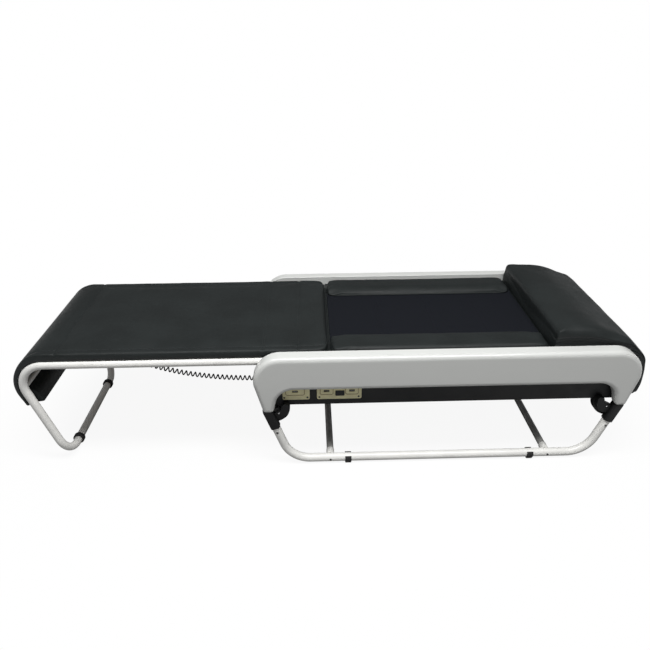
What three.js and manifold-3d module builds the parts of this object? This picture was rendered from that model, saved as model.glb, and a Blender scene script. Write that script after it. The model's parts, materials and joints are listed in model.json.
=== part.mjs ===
// Massage bed: a roller-massage main section on two floor skids, and a leg section that slides out of one end.
// Millimetres, +Z up. X runs from the leg end to the head end, and Y from the control side to the far side.
// The pieces are drawn with the middle of the main section at X = 0 and then moved, all together, so that the
// origin lies on the floor under the middle of the whole bed.
import * as THREE from "three";
import { mergeVertices } from "three/addons/utils/BufferGeometryUtils.js";
import Module from "manifold-3d";

const wasm = await Module();
wasm.setup();

// Clearances and shared values
const touchGap = 0.3; // between two pieces that touch
const runningGap = 0.5; // around a piece that turns or slides
const overrun = 3; // how far a cutter runs past the face it cuts

// Flat sides that stand for a round: bars and bores, tubes, pins, small bores and posts
const roundSides = 16;
const turnedSides = 14;
const tubeSides = 12;
const pinSides = 10;
const smallSides = 8;
const rollerSides = 24;
const nutSides = 6;
const arcSteps = 6; // in a quarter turn of a rounded corner or a bent tube
const plainArcSteps = 4;
const smallArcSteps = 3;

// The whole bed
const fasciaLength = 1290;
const bedWidth = 700;
const fasciaTop = 450;
const leftEnd = -fasciaLength / 2;
const rightEnd = fasciaLength / 2;

// Side fascias: hollow plastic covers with a leg at each end
const fasciaThickness = 49;
const fasciaWall = 3;
const fasciaDepth = 120; // from the top to the lower edge between the legs
const fasciaLowerEdge = fasciaTop - fasciaDepth;
const fasciaCornerRadius = 93;
const fasciaEdgeRound = 9;
const fasciaEdgeSteps = 2;
const fasciaShoulderMargin = 11; // below the corner's round, where the end starts to taper
const fasciaShoulder = fasciaTop - fasciaCornerRadius - fasciaShoulderMargin;
const fasciaShoulderRadius = 60;
const fasciaTipInset = 28; // from the fascia's end to the tip's outer corner
const fasciaTipOuter = rightEnd - fasciaTipInset;
const fasciaTipWidth = 34;
const fasciaTipRound = 12;
const fasciaArchInset = 83; // where the leg's inner side would meet the lower edge
const fasciaArchStart = rightEnd - fasciaArchInset;
const fasciaArchRadius = 66;
const fasciaBossRadius = 7;
const fasciaBossRise = 26; // above the lower edge
const fasciaBossHeight = fasciaLowerEdge + fasciaBossRise;
const fasciaBossShares = [-0.74, -0.25, 0.25, 0.74];
const fasciaOuterY = bedWidth / 2;
const fasciaInnerY = fasciaOuterY - fasciaThickness;

// Lower case: the black tub between the fascias
const tubEndInset = 40; // from the fascias' ends
const tubLength = fasciaLength - 2 * tubEndInset;
const tubSideGap = 2;
const tubTopDrop = 68; // below the fascias' top
const tubTop = fasciaTop - tubTopDrop;
const tubDepth = 145;
const tubBottom = tubTop - tubDepth;
const tubWall = 3;
const tubCornerRadius = 8;
const tipDrop = 1; // the fascias' lowest edge below the tub's bottom
const fasciaTipBottom = tubBottom - tipDrop;
const tubHalfLength = tubLength / 2;
const tubHalfWidth = fasciaInnerY - tubSideGap;
const serviceLength = 420;
const serviceWidth = 320;
const serviceRim = 12;
const serviceThickness = 2.4;
const serviceCornerRadius = 14;
const ventCount = 9;
const ventWidth = 5;
const ventLength = 120;
const ventPitch = 16;

// Steel frame inside the case
const beamWidth = 24;
const beamHeight = 40;
const beamWall = 2;
const beamTopGap = 2; // below the tub's rim
const beamTop = tubTop - beamTopGap;
const beamEndGap = 4;
const crossMemberWidth = 30;
const crossMemberMargin = 10; // how much lower than the side beams it is
const crossMemberHeight = beamHeight - crossMemberMargin;
const crossMemberWall = 2;

// Deck sheets under the mats, and the tracks below them that carry the massage carriage
const trackDrop = 6; // the tracks' underside below the side beams' top
const trackInset = 109; // from the tub's outer face to the track's open side
const trackInner = tubHalfWidth - trackInset;
const trackWidth = 25;
const trackWall = 3;
const deckLip = 4; // how far the deck reaches past the track's open side
const deckInner = trackInner - deckLip;
const deckThickness = 3;
const deckLeftInset = 259;
const deckLeft = leftEnd + deckLeftInset;
const deckRightInset = 273;
const deckRight = rightEnd - deckRightInset;
const trackLead = 12; // how far the tracks reach past the decks at the left
const trackLeft = deckLeft - trackLead;
const trackTail = 18;
const trackRight = deckRight + trackTail;

// Massage carriage, its wheels and its jade rollers
const carriageLength = 200;
const carriagePlateThickness = 4;
const carriagePlateDrop = 2; // the plate's underside above the track's underside
const carriageCheekThickness = 8;
const carriageCheekHeight = 29;
const carriageTrackClearance = 6;
const wheelSideGap = 7; // left over in the track's width
const wheelWidth = trackWidth - wheelSideGap;
const wheelSpacing = 170;
const wheelPinRadius = 4;
const wheelEdge = 1.5;
const jadeRadius = 20;
const jadeLength = 40;
const jadeEndRadius = 13;
const jadeBulgeShares = [-1, -0.85, -0.45, 0.45, 0.85, 1];
const jadeSpacingX = 90;
const jadeOffsetY = 48;
const jadePinRadius = 4;

// Belt drive
const beltInset = 63; // from the track's open side to the belt's middle
const beltY = trackInner - beltInset;
const beltWidth = 10;
const beltThickness = 1.6;
const pulleyRadius = 12;
const pulleyDrop = 24; // the pulleys' axes below the tracks
const pulleyInset = 30; // from a cross member's side to the pulley's axis
const pulleyFlange = 1.5;
const pulleyPinRadius = 3;
const motorPlateThickness = 4;
const motorRadius = 20;
const motorLength = 72;
const motorShaftReach = 12;
const clampLength = 24;
const clampWall = 5;

// Leg section frame: one bent tube loop with welded cross bars
const legTubeRadius = 14;
const legTubeWall = 1.5;
const railRise = 23; // the rails' axes above the side beams
const railHeight = beamTop + railRise;
const guideOuterWall = 3.2;
const railInset = tubWall + touchGap + guideOuterWall + runningGap + legTubeRadius;
const railOffset = tubHalfWidth - railInset;
const railRightInset = 545;
const railRight = leftEnd + railRightInset;
const legReach = 807; // from the fascias' end to where the rail's line meets the slanted leg's line
const legCornerLeft = leftEnd - legReach;
const legFootInset = 121;
const legFootLeft = legCornerLeft + legFootInset;
const legTopBend = 82;
const legFootBend = 75;
const legBarRadius = 10;
const legBarShares = [0.1667, 0.5606, 0.983]; // of the way from the legs' corner to the mat's end
const bendBarTurn = 93; // degrees round the bend from the rail
const legRollerRadius = 20;
const legRollerWidth = 18;
const legRollerGap = 14; // from the foot tube's bend
const legRollerOffset = railOffset - legFootBend - legRollerGap - legRollerWidth / 2;
const legRollerEdge = 1.8;
const legBoardThickness = 8;

// Guides on the side beams that hold the leg section's rails
const guideWall = 6;
const guideBlockLength = 18;
const guideMouthRise = 8; // how far the guide's arms reach above the rail's axis
const guideEndInset = 11; // from the tub's end
const guideLength = 326;
const guideLeft = -tubHalfLength + guideEndInset;
const guideRight = guideLeft + guideLength;
const guideBaseThickness = 4;

// Mats
const matTopDrop = 2; // below the fascias' top
const matTop = fasciaTop - matTopDrop;
const legMatSideInset = 12; // from the tub's outer face
const legMatHalfWidth = tubHalfWidth - legMatSideInset;
const legMatGap = 10; // between the leg mat's end and the main mat
const legMatRight = deckLeft - legMatGap;
const legBoardInset = 7; // from the mat's end
const legBoardRight = legMatRight - legBoardInset;
const wrapThickness = 18;
const wrapDrop = 205; // the wrap's lower end below the fascias' top
const wrapBottom = fasciaTop - wrapDrop;
const matSeamDepth = 2.5;
const matSeamHalfWidth = 7;
const legSeamShares = [0.107, 0.2298, 0.9533]; // of the way from the mat's end to the bend
const legEdgeSeam = 30; // from the mat's side
const matLowerInset = 4; // how far the lower edge is drawn in
const matUpperInset = 6;
const matEdgeHeightShares = [0, 0.32, 0.62, 0.9]; // of the thickness, up a mat's side
const matCrownShares = [0.3, 0.62]; // of the way from the edge seam to the centre line
const matSeamShare = 0.25; // the deepest seam, of the thickness
const matEndPlaceShares = [0, 0.1, 0.4, 1]; // of the thickness, in from the mat's end
const matEndHeightShares = [0.3, 0.52, 0.82, 1];
const wrapSteps = 9;
const wrapThinningShare = 0.5; // of the bend, over which the mat thins
const wrapPlaceShares = [0.5, 0.8, 0.93, 1]; // of the way down the hanging end
const wrapThicknessShares = [1, 1, 0.8, 0.35];
const bolsterSideInset = 11; // from the tub's outer face
const bolsterOuter = tubHalfWidth - bolsterSideInset;
const bolsterOverhang = 23; // past the deck, over the channel
const bolsterInner = deckInner - bolsterOverhang;
const bolsterShoulder = 46; // across which the top falls towards the channel
const bolsterEndInset = 24;
const bolsterRight = deckRight - bolsterEndInset;
const bolsterEdgeRound = 12;
const bolsterEndRound = 26;
const bolsterSideShare = 0.45; // height of the side's last upright point, of the bolster's height
const bolsterRoundShare = 0.9; // the largest edge round, of the height
const bolsterCornerShares = [0.35, 0.3]; // the edge round's middle point, in and down
const bolsterEndPlaceShares = [0, 0.08, 0.3, 0.62, 1];
const bolsterLeastRiseShare = 0.3;
const bolsterMiddleShares = [0.33, 0.66];
const bolsterShoulderShares = [
  [1, 1],
  [0.55, 0.85],
  [0.18, 0.55],
  [0, 0.25],
]; // of the shoulder's breadth and of its height
const channelThickness = 4;
const channelLip = 20; // how far the channel cloth runs in under each bolster
const channelSeamShares = [0.26, 0.51, 0.763]; // of the cloth's length
const channelSeamDepthShare = 0.4; // of the cloth's thickness
const channelWidthShares = [1, 0.9, 0.6, 0.3, 0, -0.3, -0.6, -0.9, -1];
const channelEndInset = 17; // from the decks' right end
const mainMatRight = deckRight - channelEndInset;

// Head cushion and its bent board
const headGap = 2; // between the channel cloth and the cushion
const headFront = mainMatRight + headGap;
const headSideInset = 3; // from the tub's outer face
const headHalfWidth = tubHalfWidth - headSideInset;
const headBoardThickness = 3;
const headBoardSideInset = 7;
const headBoardHalfWidth = tubHalfWidth - headBoardSideInset;
const headBendInset = 27; // from the fascias' right end
const headBendStart = rightEnd - headBendInset;
const headBendRadius = 40;
const headBoardLift = 27; // above the tub's bottom
const headBoardBottom = tubBottom + headBoardLift;
const headWrapLift = 15;
const headWrapBottom = tubBottom + headWrapLift;
const headRise = 87;
const headWrapThickness = 28;
const headWrapFlare = 36;
const headShelfLength = 120;
const headSlopeRise = 36;
const headShoulderThickness = 12;
const headFrontPlaceShares = [0, 0.06, 0.2, 0.45]; // of the rise, in from the front
const headFrontRiseShares = [0.72, 0.88, 0.97, 1];
const headShelfPlaceShares = [-0.3, 0.2]; // of the rise, from the shelf's end
const headShelfRiseShares = [1, 0.94];
const headMiddleShare = 0.6; // of the fall from the shelf to the slope's foot
const headSlopeEndShare = 0.2; // of the rise, before the bend
const headBendSteps = 6;
const headWrapPlaceShares = [0.3, 0.7, 0.9, 1]; // of the way down the wrap
const headFlareShares = [0.6, 1, 1, 1];
const headThinningShares = [1, 1, 0.88, 0.4];

// Stand: two bent skid tubes, two cross tubes and four knuckles
const skidRadius = 15;
const skidWall = 1.5;
const skidGap = 21; // from the tub's outer face to the skid's axis
const skidOffset = tubHalfWidth + skidGap;
const footWall = 3.2;
const skidHeight = skidRadius + touchGap + footWall;
const skidAxisInset = 10.5; // from the fascia tip's outer corner to the skid's axis there
const skidLean = 0.35; // sideways travel per unit of rise
const skidCorner = fasciaTipOuter - skidAxisInset - skidLean * (fasciaTipBottom - skidHeight);
const skidBendShare = 0.4515; // of the rise from the skid's axis to the fascia's tip
const skidBend = (fasciaTipBottom - skidHeight) * skidBendShare;
const skidEndDrop = 18; // the skid's end below the fascia's tip
const skidEndHeight = fasciaTipBottom - skidEndDrop;
const crossTubeRadius = 12.5;
const crossTubeWall = 1.5;
const crossTubeInset = 255; // from the fascias' end
const crossTubePlace = rightEnd - crossTubeInset;
const footSpacing = 63; // from the cross tube's middle to the foot's middle
const footPlace = crossTubePlace - footSpacing;
const footWidth = 22;
const footArmRise = 13; // how far the clip's arms reach above the tube's axis
const footPadHalfWidth = 12;
const footSteps = 12;
const sleeveWall = 2;
const sleeveRadius = skidRadius + sleeveWall;
const sleeveDrop = 82.5; // below the fascia's tip
const sleeveBottom = fasciaTipBottom - sleeveDrop;
const spigotRise = 60;
const spigotTop = fasciaTipBottom + spigotRise;
const spigotGap = 1;
const earThickness = 15;
const earSideInset = 28; // from the tub's outer face to the ear's inner face
const earOffset = tubHalfWidth - earSideInset;
const earInnerInset = 114; // from the fascias' end
const earInner = rightEnd - earInnerInset;
const earLength = 49;
const earOuter = earInner + earLength;
const earDrop = 74; // below the tub
const earBottom = tubBottom - earDrop;
const neckInset = 4;
const earRoundMargin = 1; // between the ear's round and its far corner
const earRound = earLength - neckInset - earRoundMargin;
const webReach = 26; // past the ear
const webOuter = earOuter + webReach;
const webTopInnerDrop = 5; // below the tub
const webTopInner = tubBottom - webTopInnerDrop;
const webTopOuterDrop = 21;
const webTopOuter = tubBottom - webTopOuterDrop;
const webLowerReach = 17;
const webLowerOuter = earOuter + webLowerReach;
const webLowerRise = 7; // above the ear's lower edge
const webLowerHeight = earBottom + webLowerRise;
const slotGap = 1;

// Control panel: two cream socket plates, a rocker switch, and the electronics behind them
const plateThickness = 3;
const plateTopDrop = 4; // below the fascia's lower edge
const plateTop = fasciaLowerEdge - plateTopDrop;
const plateHeight = 70;
const plateBottom = plateTop - plateHeight;
const plateCornerRadius = 6;
const plateOneInset = 88; // from the fascias' left end
const plateOneLeft = leftEnd + plateOneInset;
const plateOneWidth = 99;
const plateOneRight = plateOneLeft + plateOneWidth;
const plateSpacing = 25;
const plateTwoLeft = plateOneRight + plateSpacing;
const switchWidth = 30;
const socketBlockWidth = 44;
const socketBlockGap = 6.3; // between the switch and a socket block
const socketBlockMargin = 10.7; // from a socket block to the plate's end
const plateTwoWidth = switchWidth + 2 * (socketBlockGap + socketBlockWidth + socketBlockMargin);
const plateTwoRight = plateTwoLeft + plateTwoWidth;
const plateBackInset = 12;
const plateBackDepth = 4;
const socketBlockRise = 4;
const socketBlockHeight = 34;
const socketBlockLift = 20; // above the plate's lower edge
const socketBlockBottom = plateBottom + socketBlockLift;
const socketHeight = 9;
const socketWidth = 22;
const socketDepth = 7.5;
const socketLift = 9; // a socket's lower edge above its block's lower edge
const plateOneBlockWidth = 62;
const switchHeight = 20;
const switchDepth = 9;
const switchRise = 2.5;
const switchTilt = 7; // degrees
const switchLift = 17; // above the plate's lower edge
const switchBottom = plateBottom + switchLift;
const boxGap = 6; // from the knuckle's ear
const boxLeft = boxGap - earInner;
const boxRightInset = 9;
const boxRight = plateTwoRight - boxRightInset;
const boxDepth = 82;
const boxTopDrop = 18; // below the side beams
const boxTop = beamTop - beamHeight - boxTopDrop;
const boxWall = 2;
const boardThickness = 1.6;
const boardRise = 8;
const boardPostRadius = 4;
const boardMargin = 8;
const boardPostInset = 24;

// Coiled lead between the two sections
const cordRadius = 2.25;
const coilRadius = 7; // of the curl's centre line
const curlCount = 27;
const curlSteps = 8;
const cordSides = 5;
const cordInset = 59; // from the tub's outer face
const cordY = cordInset - tubHalfWidth;
const glandRadius = 8;
const glandLength = 14;
const glandNutRadius = 10.8;
const glandDrop = 72; // below the tub's rim
const cordEndHeight = tubTop - glandDrop;
const plugLength = 30;
const plugWidth = 24;
const plugHeight = 22;
const plugReach = 385; // from the fascias' left end to the plug's face
const plugRight = leftEnd - plugReach;
const cordStartDrop = 12; // the lead's axis below the plug's top
const cordRouteShares = [0.0431, 0.2551, 0.4671, 0.6913, 0.913]; // of the way from the plug to the gland
const cordFallShares = [0.1811, 0.5617, 0.7924, 0.9308, 0.9885]; // of the fall between them

// Colours and finishes
const finish = (color, roughness, metalness = 0) =>
  new THREE.MeshStandardMaterial({ color, roughness, metalness });
const whitePlastic = finish(0xf1f2ee, 0.25);
const blackPlastic = finish(0x1d1f21, 0.55);
const blackLeather = finish(0x2f3435, 0.5);
const channelCloth = finish(0x1d2026, 0.85);
const whitePaint = finish(0xe9e8e2, 0.3, 0.2);
const greyPaint = finish(0x6c6c69, 0.4, 0.3);
const galvanised = finish(0x8d9093, 0.45, 0.8);
const plywood = finish(0x8b6b43, 0.75);
const blackRubber = finish(0x17181a, 0.85);
const creamPlastic = finish(0xd2cda8, 0.45);
const jade = finish(0x6f9c72, 0.2);
const nylon = finish(0xdad7cf, 0.5);
const steel = finish(0xb4b6b9, 0.3, 0.9);
const circuitBoard = finish(0x2c5a3a, 0.6);

// Solids: a closed geometry as a manifold solid, and back
function solid(geometry) {
  const bare = geometry.clone();
  bare.deleteAttribute("normal");
  bare.deleteAttribute("uv");
  const merged = mergeVertices(bare, 1e-3);
  const mesh = new wasm.Mesh({
    numProp: 3,
    vertProperties: merged.attributes.position.array,
    triVerts: new Uint32Array(merged.index.array),
  });
  return new wasm.Manifold(mesh);
}

function geometryOf(manifold) {
  const mesh = manifold.getMesh();
  const geometry = new THREE.BufferGeometry();
  geometry.setAttribute("position", new THREE.BufferAttribute(mesh.vertProperties, 3));
  geometry.setIndex(new THREE.BufferAttribute(mesh.triVerts, 1));
  return geometry;
}

const join = (first, ...others) => others.reduce((whole, next) => whole.add(next), first);
const cut = (body, ...tools) => tools.reduce((left, tool) => left.subtract(tool), body);

// A solid reflected across the plane where one coordinate is zero
function reflected(body, axis) {
  const flip = { x: [-1, 1, 1], y: [1, -1, 1] }[axis];
  return body.scale(flip);
}

// Outlines: corners of a closed counterclockwise polygon, each [x, y, radius]
function filleted(corners, steps = arcSteps) {
  const points = [];
  corners.forEach(([x, y, radius = 0], i) => {
    const at = new THREE.Vector2(x, y);
    if (!radius) {
      points.push(at);
      return;
    }
    const before = corners[(i + corners.length - 1) % corners.length];
    const after = corners[(i + 1) % corners.length];
    const back = new THREE.Vector2(before[0], before[1]).sub(at).normalize();
    const on = new THREE.Vector2(after[0], after[1]).sub(at).normalize();
    const half = Math.acos(THREE.MathUtils.clamp(back.dot(on), -1, 1)) / 2;
    const centre = back.clone().add(on).normalize().multiplyScalar(radius / Math.sin(half)).add(at);
    const from = at.clone().addScaledVector(back, radius / Math.tan(half)).sub(centre);
    const to = at.clone().addScaledVector(on, radius / Math.tan(half)).sub(centre);
    const start = Math.atan2(from.y, from.x);
    const turn = Math.atan2(from.cross(to), from.dot(to));
    const count = Math.max(1, Math.ceil((steps * Math.abs(turn)) / (Math.PI / 2)));
    for (let k = 0; k <= count; k++) {
      const angle = start + (turn * k) / count;
      points.push(new THREE.Vector2(centre.x + radius * Math.cos(angle), centre.y + radius * Math.sin(angle)));
    }
  });
  return points;
}

// The same polygon with every side moved inwards
function insetCorners(corners, inset) {
  return corners.map(([x, y, radius = 0], i) => {
    const before = corners[(i + corners.length - 1) % corners.length];
    const after = corners[(i + 1) % corners.length];
    const into = new THREE.Vector2(x - before[0], y - before[1]).normalize();
    const out = new THREE.Vector2(after[0] - x, after[1] - y).normalize();
    const scale = inset / (1 + into.dot(out));
    const convex = into.cross(out) > 0;
    const newRadius = radius ? Math.max(radius + (convex ? -inset : inset), inset) : 0;
    return [x - (into.y + out.y) * scale, y + (into.x + out.x) * scale, newRadius];
  });
}

const rectangle = (x0, y0, x1, y1, radius = 0) => [
  [x0, y0, radius],
  [x1, y0, radius],
  [x1, y1, radius],
  [x0, y1, radius],
];

function extruded(points, depth, holes = [], options = {}) {
  const shape = new THREE.Shape(points);
  shape.holes = holes.map((hole) => new THREE.Path(hole));
  return new THREE.ExtrudeGeometry(shape, { depth, bevelEnabled: false, ...options });
}

// An outline in X and Z, extruded along Y
function acrossBed(points, y0, y1, holes) {
  return solid(extruded(points, y1 - y0, holes).rotateX(Math.PI / 2).translate(0, y1, 0));
}

// An outline in Y and Z, extruded along X
function alongBed(points, x0, x1, holes) {
  const turn = new THREE.Matrix4().makeBasis(
    new THREE.Vector3(0, 1, 0),
    new THREE.Vector3(0, 0, 1),
    new THREE.Vector3(1, 0, 0),
  );
  return solid(extruded(points, x1 - x0, holes).applyMatrix4(turn).translate(x0, 0, 0));
}

// An outline in X and Y, extruded along Z
const upright = (points, z0, z1, holes) => solid(extruded(points, z1 - z0, holes).translate(0, 0, z0));

function block(x0, x1, y0, y1, z0, z1) {
  const box = new THREE.BoxGeometry(x1 - x0, y1 - y0, z1 - z0);
  return solid(box.translate((x0 + x1) / 2, (y0 + y1) / 2, (z0 + z1) / 2));
}

// A round bar along Y
function crossRod(radius, x, z, y0, y1, sides = roundSides) {
  const rod = new THREE.CylinderGeometry(radius, radius, y1 - y0, sides);
  return solid(rod.translate(x, (y0 + y1) / 2, z));
}

// A round bar between two points
function rodBetween(radius, from, to, sides = roundSides) {
  const along = to.clone().sub(from);
  const rod = new THREE.CylinderGeometry(radius, radius, along.length(), sides);
  const turn = new THREE.Quaternion().setFromUnitVectors(new THREE.Vector3(0, 1, 0), along.clone().normalize());
  const middle = from.clone().add(to).divideScalar(2);
  return solid(rod.applyQuaternion(turn).translate(middle.x, middle.y, middle.z));
}

// The radius of a cutter with flat sides that leaves a round piece clear
const clearing = (radius, count = roundSides) => radius / Math.cos(Math.PI / count);

const circle = (radius, sides) =>
  Array.from({ length: sides }, (_, i) => {
    const angle = (2 * Math.PI * i) / sides;
    return new THREE.Vector2(radius * Math.cos(angle), radius * Math.sin(angle));
  });

// A turned piece about an axis along Y, from a closed profile of [radius, y]
function turned(profile, x, z, sides = turnedSides) {
  const closed = [...profile, profile[0]].map(([r, y]) => new THREE.Vector2(r, y));
  return fixedFacing(new THREE.LatheGeometry(closed, sides).translate(x, 0, z));
}

// A solid whose faces are turned outwards if they point in
function fixedFacing(geometry) {
  const made = solid(geometry);
  if (made.volume() > 0) return made;
  const turnedRound = geometry.index ? geometry.clone() : mergeVertices(geometry);
  const index = Array.from(turnedRound.index.array);
  for (let i = 0; i < index.length; i += 3) [index[i + 1], index[i + 2]] = [index[i + 2], index[i + 1]];
  turnedRound.setIndex(index);
  return solid(turnedRound);
}

// A run that an extrusion follows ring by ring, so that straight stretches need no extra rings
class RingRun extends THREE.Curve {
  constructor(rings) {
    super();
    this.rings = rings;
  }
  ringAt(u) {
    return this.rings[Math.round(u * (this.rings.length - 1))];
  }
  getPointAt(u, target = new THREE.Vector3()) {
    return target.copy(this.ringAt(u).at);
  }
  getTangentAt(u, target = new THREE.Vector3()) {
    return target.copy(this.ringAt(u).along);
  }
}

// Rings along a route with rounded corners: places are Vector3, and radii one for each inner corner
function bentRings(places, radii, steps = arcSteps) {
  const rings = [];
  places.forEach((place, i) => {
    const into = i ? place.clone().sub(places[i - 1]).normalize() : null;
    const out = i < places.length - 1 ? places[i + 1].clone().sub(place).normalize() : null;
    if (!into || !out) {
      rings.push({ at: place, along: into ?? out });
      return;
    }
    const turn = into.angleTo(out);
    const radius = radii[i - 1];
    const reach = radius * Math.tan(turn / 2);
    const start = place.clone().addScaledVector(into, -reach);
    const side = out.clone().addScaledVector(into, -out.dot(into)).normalize();
    for (let k = 0; k <= steps; k++) {
      const angle = (turn * k) / steps;
      const at = start
        .clone()
        .addScaledVector(into, radius * Math.sin(angle))
        .addScaledVector(side, radius * (1 - Math.cos(angle)));
      const along = into.clone().multiplyScalar(Math.cos(angle)).addScaledVector(side, Math.sin(angle));
      rings.push({ at, along });
    }
  });
  return rings;
}

// A tube along rings, hollow when it has a wall
function tube(rings, radius, wall = 0, sides = tubeSides) {
  const holes = wall ? [circle(radius - wall, smallSides)] : [];
  const path = { steps: rings.length - 1, extrudePath: new RingRun(rings) };
  return fixedFacing(extruded(circle(radius, sides), 0, holes, path));
}

// A closed skin over a row of closed sections that have the same number of points
function loft(sections) {
  const count = sections[0].length;
  const points = sections.flat();
  const index = [];
  for (let s = 0; s < sections.length - 1; s++) {
    for (let k = 0; k < count; k++) {
      const a = s * count + k;
      const b = s * count + ((k + 1) % count);
      index.push(a, b, b + count, a, b + count, a + count);
    }
  }
  const caps = [
    [0, sections[0]],
    [(sections.length - 1) * count, sections[sections.length - 1]],
  ];
  caps.forEach(([first, section], end) => {
    const middle = section.reduce((sum, p) => sum.add(p), new THREE.Vector3()).divideScalar(count);
    points.push(middle);
    for (let k = 0; k < count; k++) {
      const a = first + k;
      const b = first + ((k + 1) % count);
      index.push(...(end ? [a, b, points.length - 1] : [b, a, points.length - 1]));
    }
  });
  const geometry = new THREE.BufferGeometry().setFromPoints(points);
  geometry.setIndex(index);
  return fixedFacing(geometry);
}

// The assembly
const bed = new THREE.Group();
const mainSection = new THREE.Group();
const legSection = new THREE.Group();
const carriage = new THREE.Group();
bed.add(mainSection, legSection);
mainSection.add(carriage);

function add(group, name, body, material) {
  const mesh = new THREE.Mesh(geometryOf(body), material);
  mesh.name = name;
  group.add(mesh);
}

const sides = [
  ["near", -1],
  ["far", 1],
];
const ends = [
  ["left", -1],
  ["right", 1],
];
// A piece drawn on the far side, or at the right end, put where it belongs
const onSide = (body, sign) => (sign < 0 ? reflected(body, "y") : body);
const onEnd = (body, sign) => (sign < 0 ? reflected(body, "x") : body);

// Fascias
const tipSlope = (rightEnd - fasciaTipOuter) / (fasciaShoulder - fasciaTipBottom);
const innerSlope = (fasciaTipOuter - fasciaTipWidth - fasciaArchStart) / (fasciaLowerEdge - fasciaTipBottom);

function fasciaCorners(tipBottom = fasciaTipBottom, tipRound = fasciaTipRound) {
  const outerAt = fasciaTipOuter - tipSlope * (fasciaTipBottom - tipBottom);
  const innerAt = fasciaTipOuter - fasciaTipWidth + innerSlope * (fasciaTipBottom - tipBottom);
  const right = [
    [fasciaArchStart, fasciaLowerEdge, fasciaArchRadius],
    [innerAt, tipBottom, tipRound],
    [outerAt, tipBottom, tipRound],
    [rightEnd, fasciaShoulder, fasciaShoulderRadius],
    [rightEnd, fasciaTop, fasciaCornerRadius],
  ];
  return [...right, ...right.map(([x, z, r]) => [-x, z, r]).reverse()];
}

function fascia() {
  const outline = filleted(fasciaCorners());
  const bevel = {
    bevelEnabled: true,
    bevelThickness: fasciaEdgeRound,
    bevelSize: fasciaEdgeRound,
    bevelOffset: -fasciaEdgeRound,
    bevelSegments: fasciaEdgeSteps,
  };
  const blank = solid(
    extruded(outline, fasciaThickness, [], bevel)
      .rotateX(Math.PI / 2)
      .translate(0, fasciaOuterY - fasciaEdgeRound, 0),
  );
  const reach = rightEnd + overrun;
  const outside = block(-reach, reach, fasciaInnerY, fasciaOuterY + overrun, 0, fasciaTop + overrun);
  const openTip = fasciaTipBottom - fasciaWall - overrun;
  const cavityOutline = filleted(insetCorners(fasciaCorners(openTip, 0), fasciaWall), plainArcSteps);
  const cavity = acrossBed(cavityOutline, fasciaInnerY - overrun, fasciaOuterY - fasciaWall);
  const bosses = fasciaBossShares.map((share) =>
    crossRod(
      fasciaBossRadius,
      (share * tubLength) / 2,
      fasciaBossHeight,
      fasciaInnerY - tubSideGap + touchGap,
      fasciaOuterY - fasciaWall / 2,
      smallSides,
    ),
  );
  return join(cut(blank.intersect(outside), cavity), ...bosses);
}
const fasciaShape = fascia();
for (const [side, sign] of sides) add(mainSection, `fascia_${side}`, onSide(fasciaShape, sign), whitePlastic);

// Knuckles: each has a sleeve for the skid's end, a spigot in the fascia's leg and an ear under the side beam
const beamOuterY = fasciaInnerY - tubSideGap - tubWall - touchGap;
const beamBottom = beamTop - beamHeight;
const skidXAt = (z) => skidCorner + skidLean * (z - skidHeight);
const onSkid = (z) => new THREE.Vector3(skidXAt(z), skidOffset, z);

function earOutline(top, gap = 0) {
  const under = tubBottom - touchGap;
  return [
    [earInner - gap, earBottom, earRound],
    [earOuter + gap, earBottom, neckInset],
    [earOuter + gap, under],
    [earOuter - neckInset + gap, under],
    [earOuter - neckInset + gap, top],
    [earInner + neckInset - gap, top],
    [earInner + neckInset - gap, under],
    [earInner - gap, under],
  ];
}

function knuckle() {
  const sleeve = rodBetween(sleeveRadius, onSkid(sleeveBottom), onSkid(spigotTop));
  const floorCut = block(0, fasciaLength, 0, bedWidth, 0, fasciaTipBottom);
  const inset = fasciaWall + spigotGap;
  const spigotCorners = insetCorners(fasciaCorners(fasciaTipBottom - inset - overrun, 0), inset);
  const spigotOutline = filleted(spigotCorners, plainArcSteps);
  const spigotSpace = acrossBed(spigotOutline, skidOffset - sleeveRadius, skidOffset + sleeveRadius);
  const spigotSlab = block(earOuter, fasciaLength, 0, bedWidth, fasciaTipBottom - overrun, spigotTop);
  const spigot = spigotSpace.intersect(spigotSlab);
  const ear = acrossBed(filleted(earOutline(beamBottom - touchGap)), earOffset, earOffset + earThickness);
  const webCorners = [
    [earOuter - sleeveRadius, earBottom + neckInset],
    [webLowerOuter, webLowerHeight],
    [webOuter, webTopOuter],
    [earOuter - sleeveRadius, webTopInner],
  ];
  const web = acrossBed(filleted(webCorners), earOffset, skidOffset);
  const whole = join(sleeve.intersect(floorCut), spigot, ear, web);
  const bore = rodBetween(
    clearing(skidRadius + touchGap),
    onSkid(sleeveBottom - skidRadius),
    onSkid(skidEndHeight + runningGap),
  );
  return cut(whole, bore);
}
const knuckleShape = knuckle();

// Skids, cross tubes and rubber feet
function skid() {
  const places = [
    onSkid(skidEndHeight),
    new THREE.Vector3(skidCorner, skidOffset, skidHeight),
    new THREE.Vector3(-skidCorner, skidOffset, skidHeight),
    new THREE.Vector3(-skidXAt(skidEndHeight), skidOffset, skidEndHeight),
  ];
  return tube(bentRings(places, [skidBend, skidBend]), skidRadius, skidWall);
}
const skidShape = skid();

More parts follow.
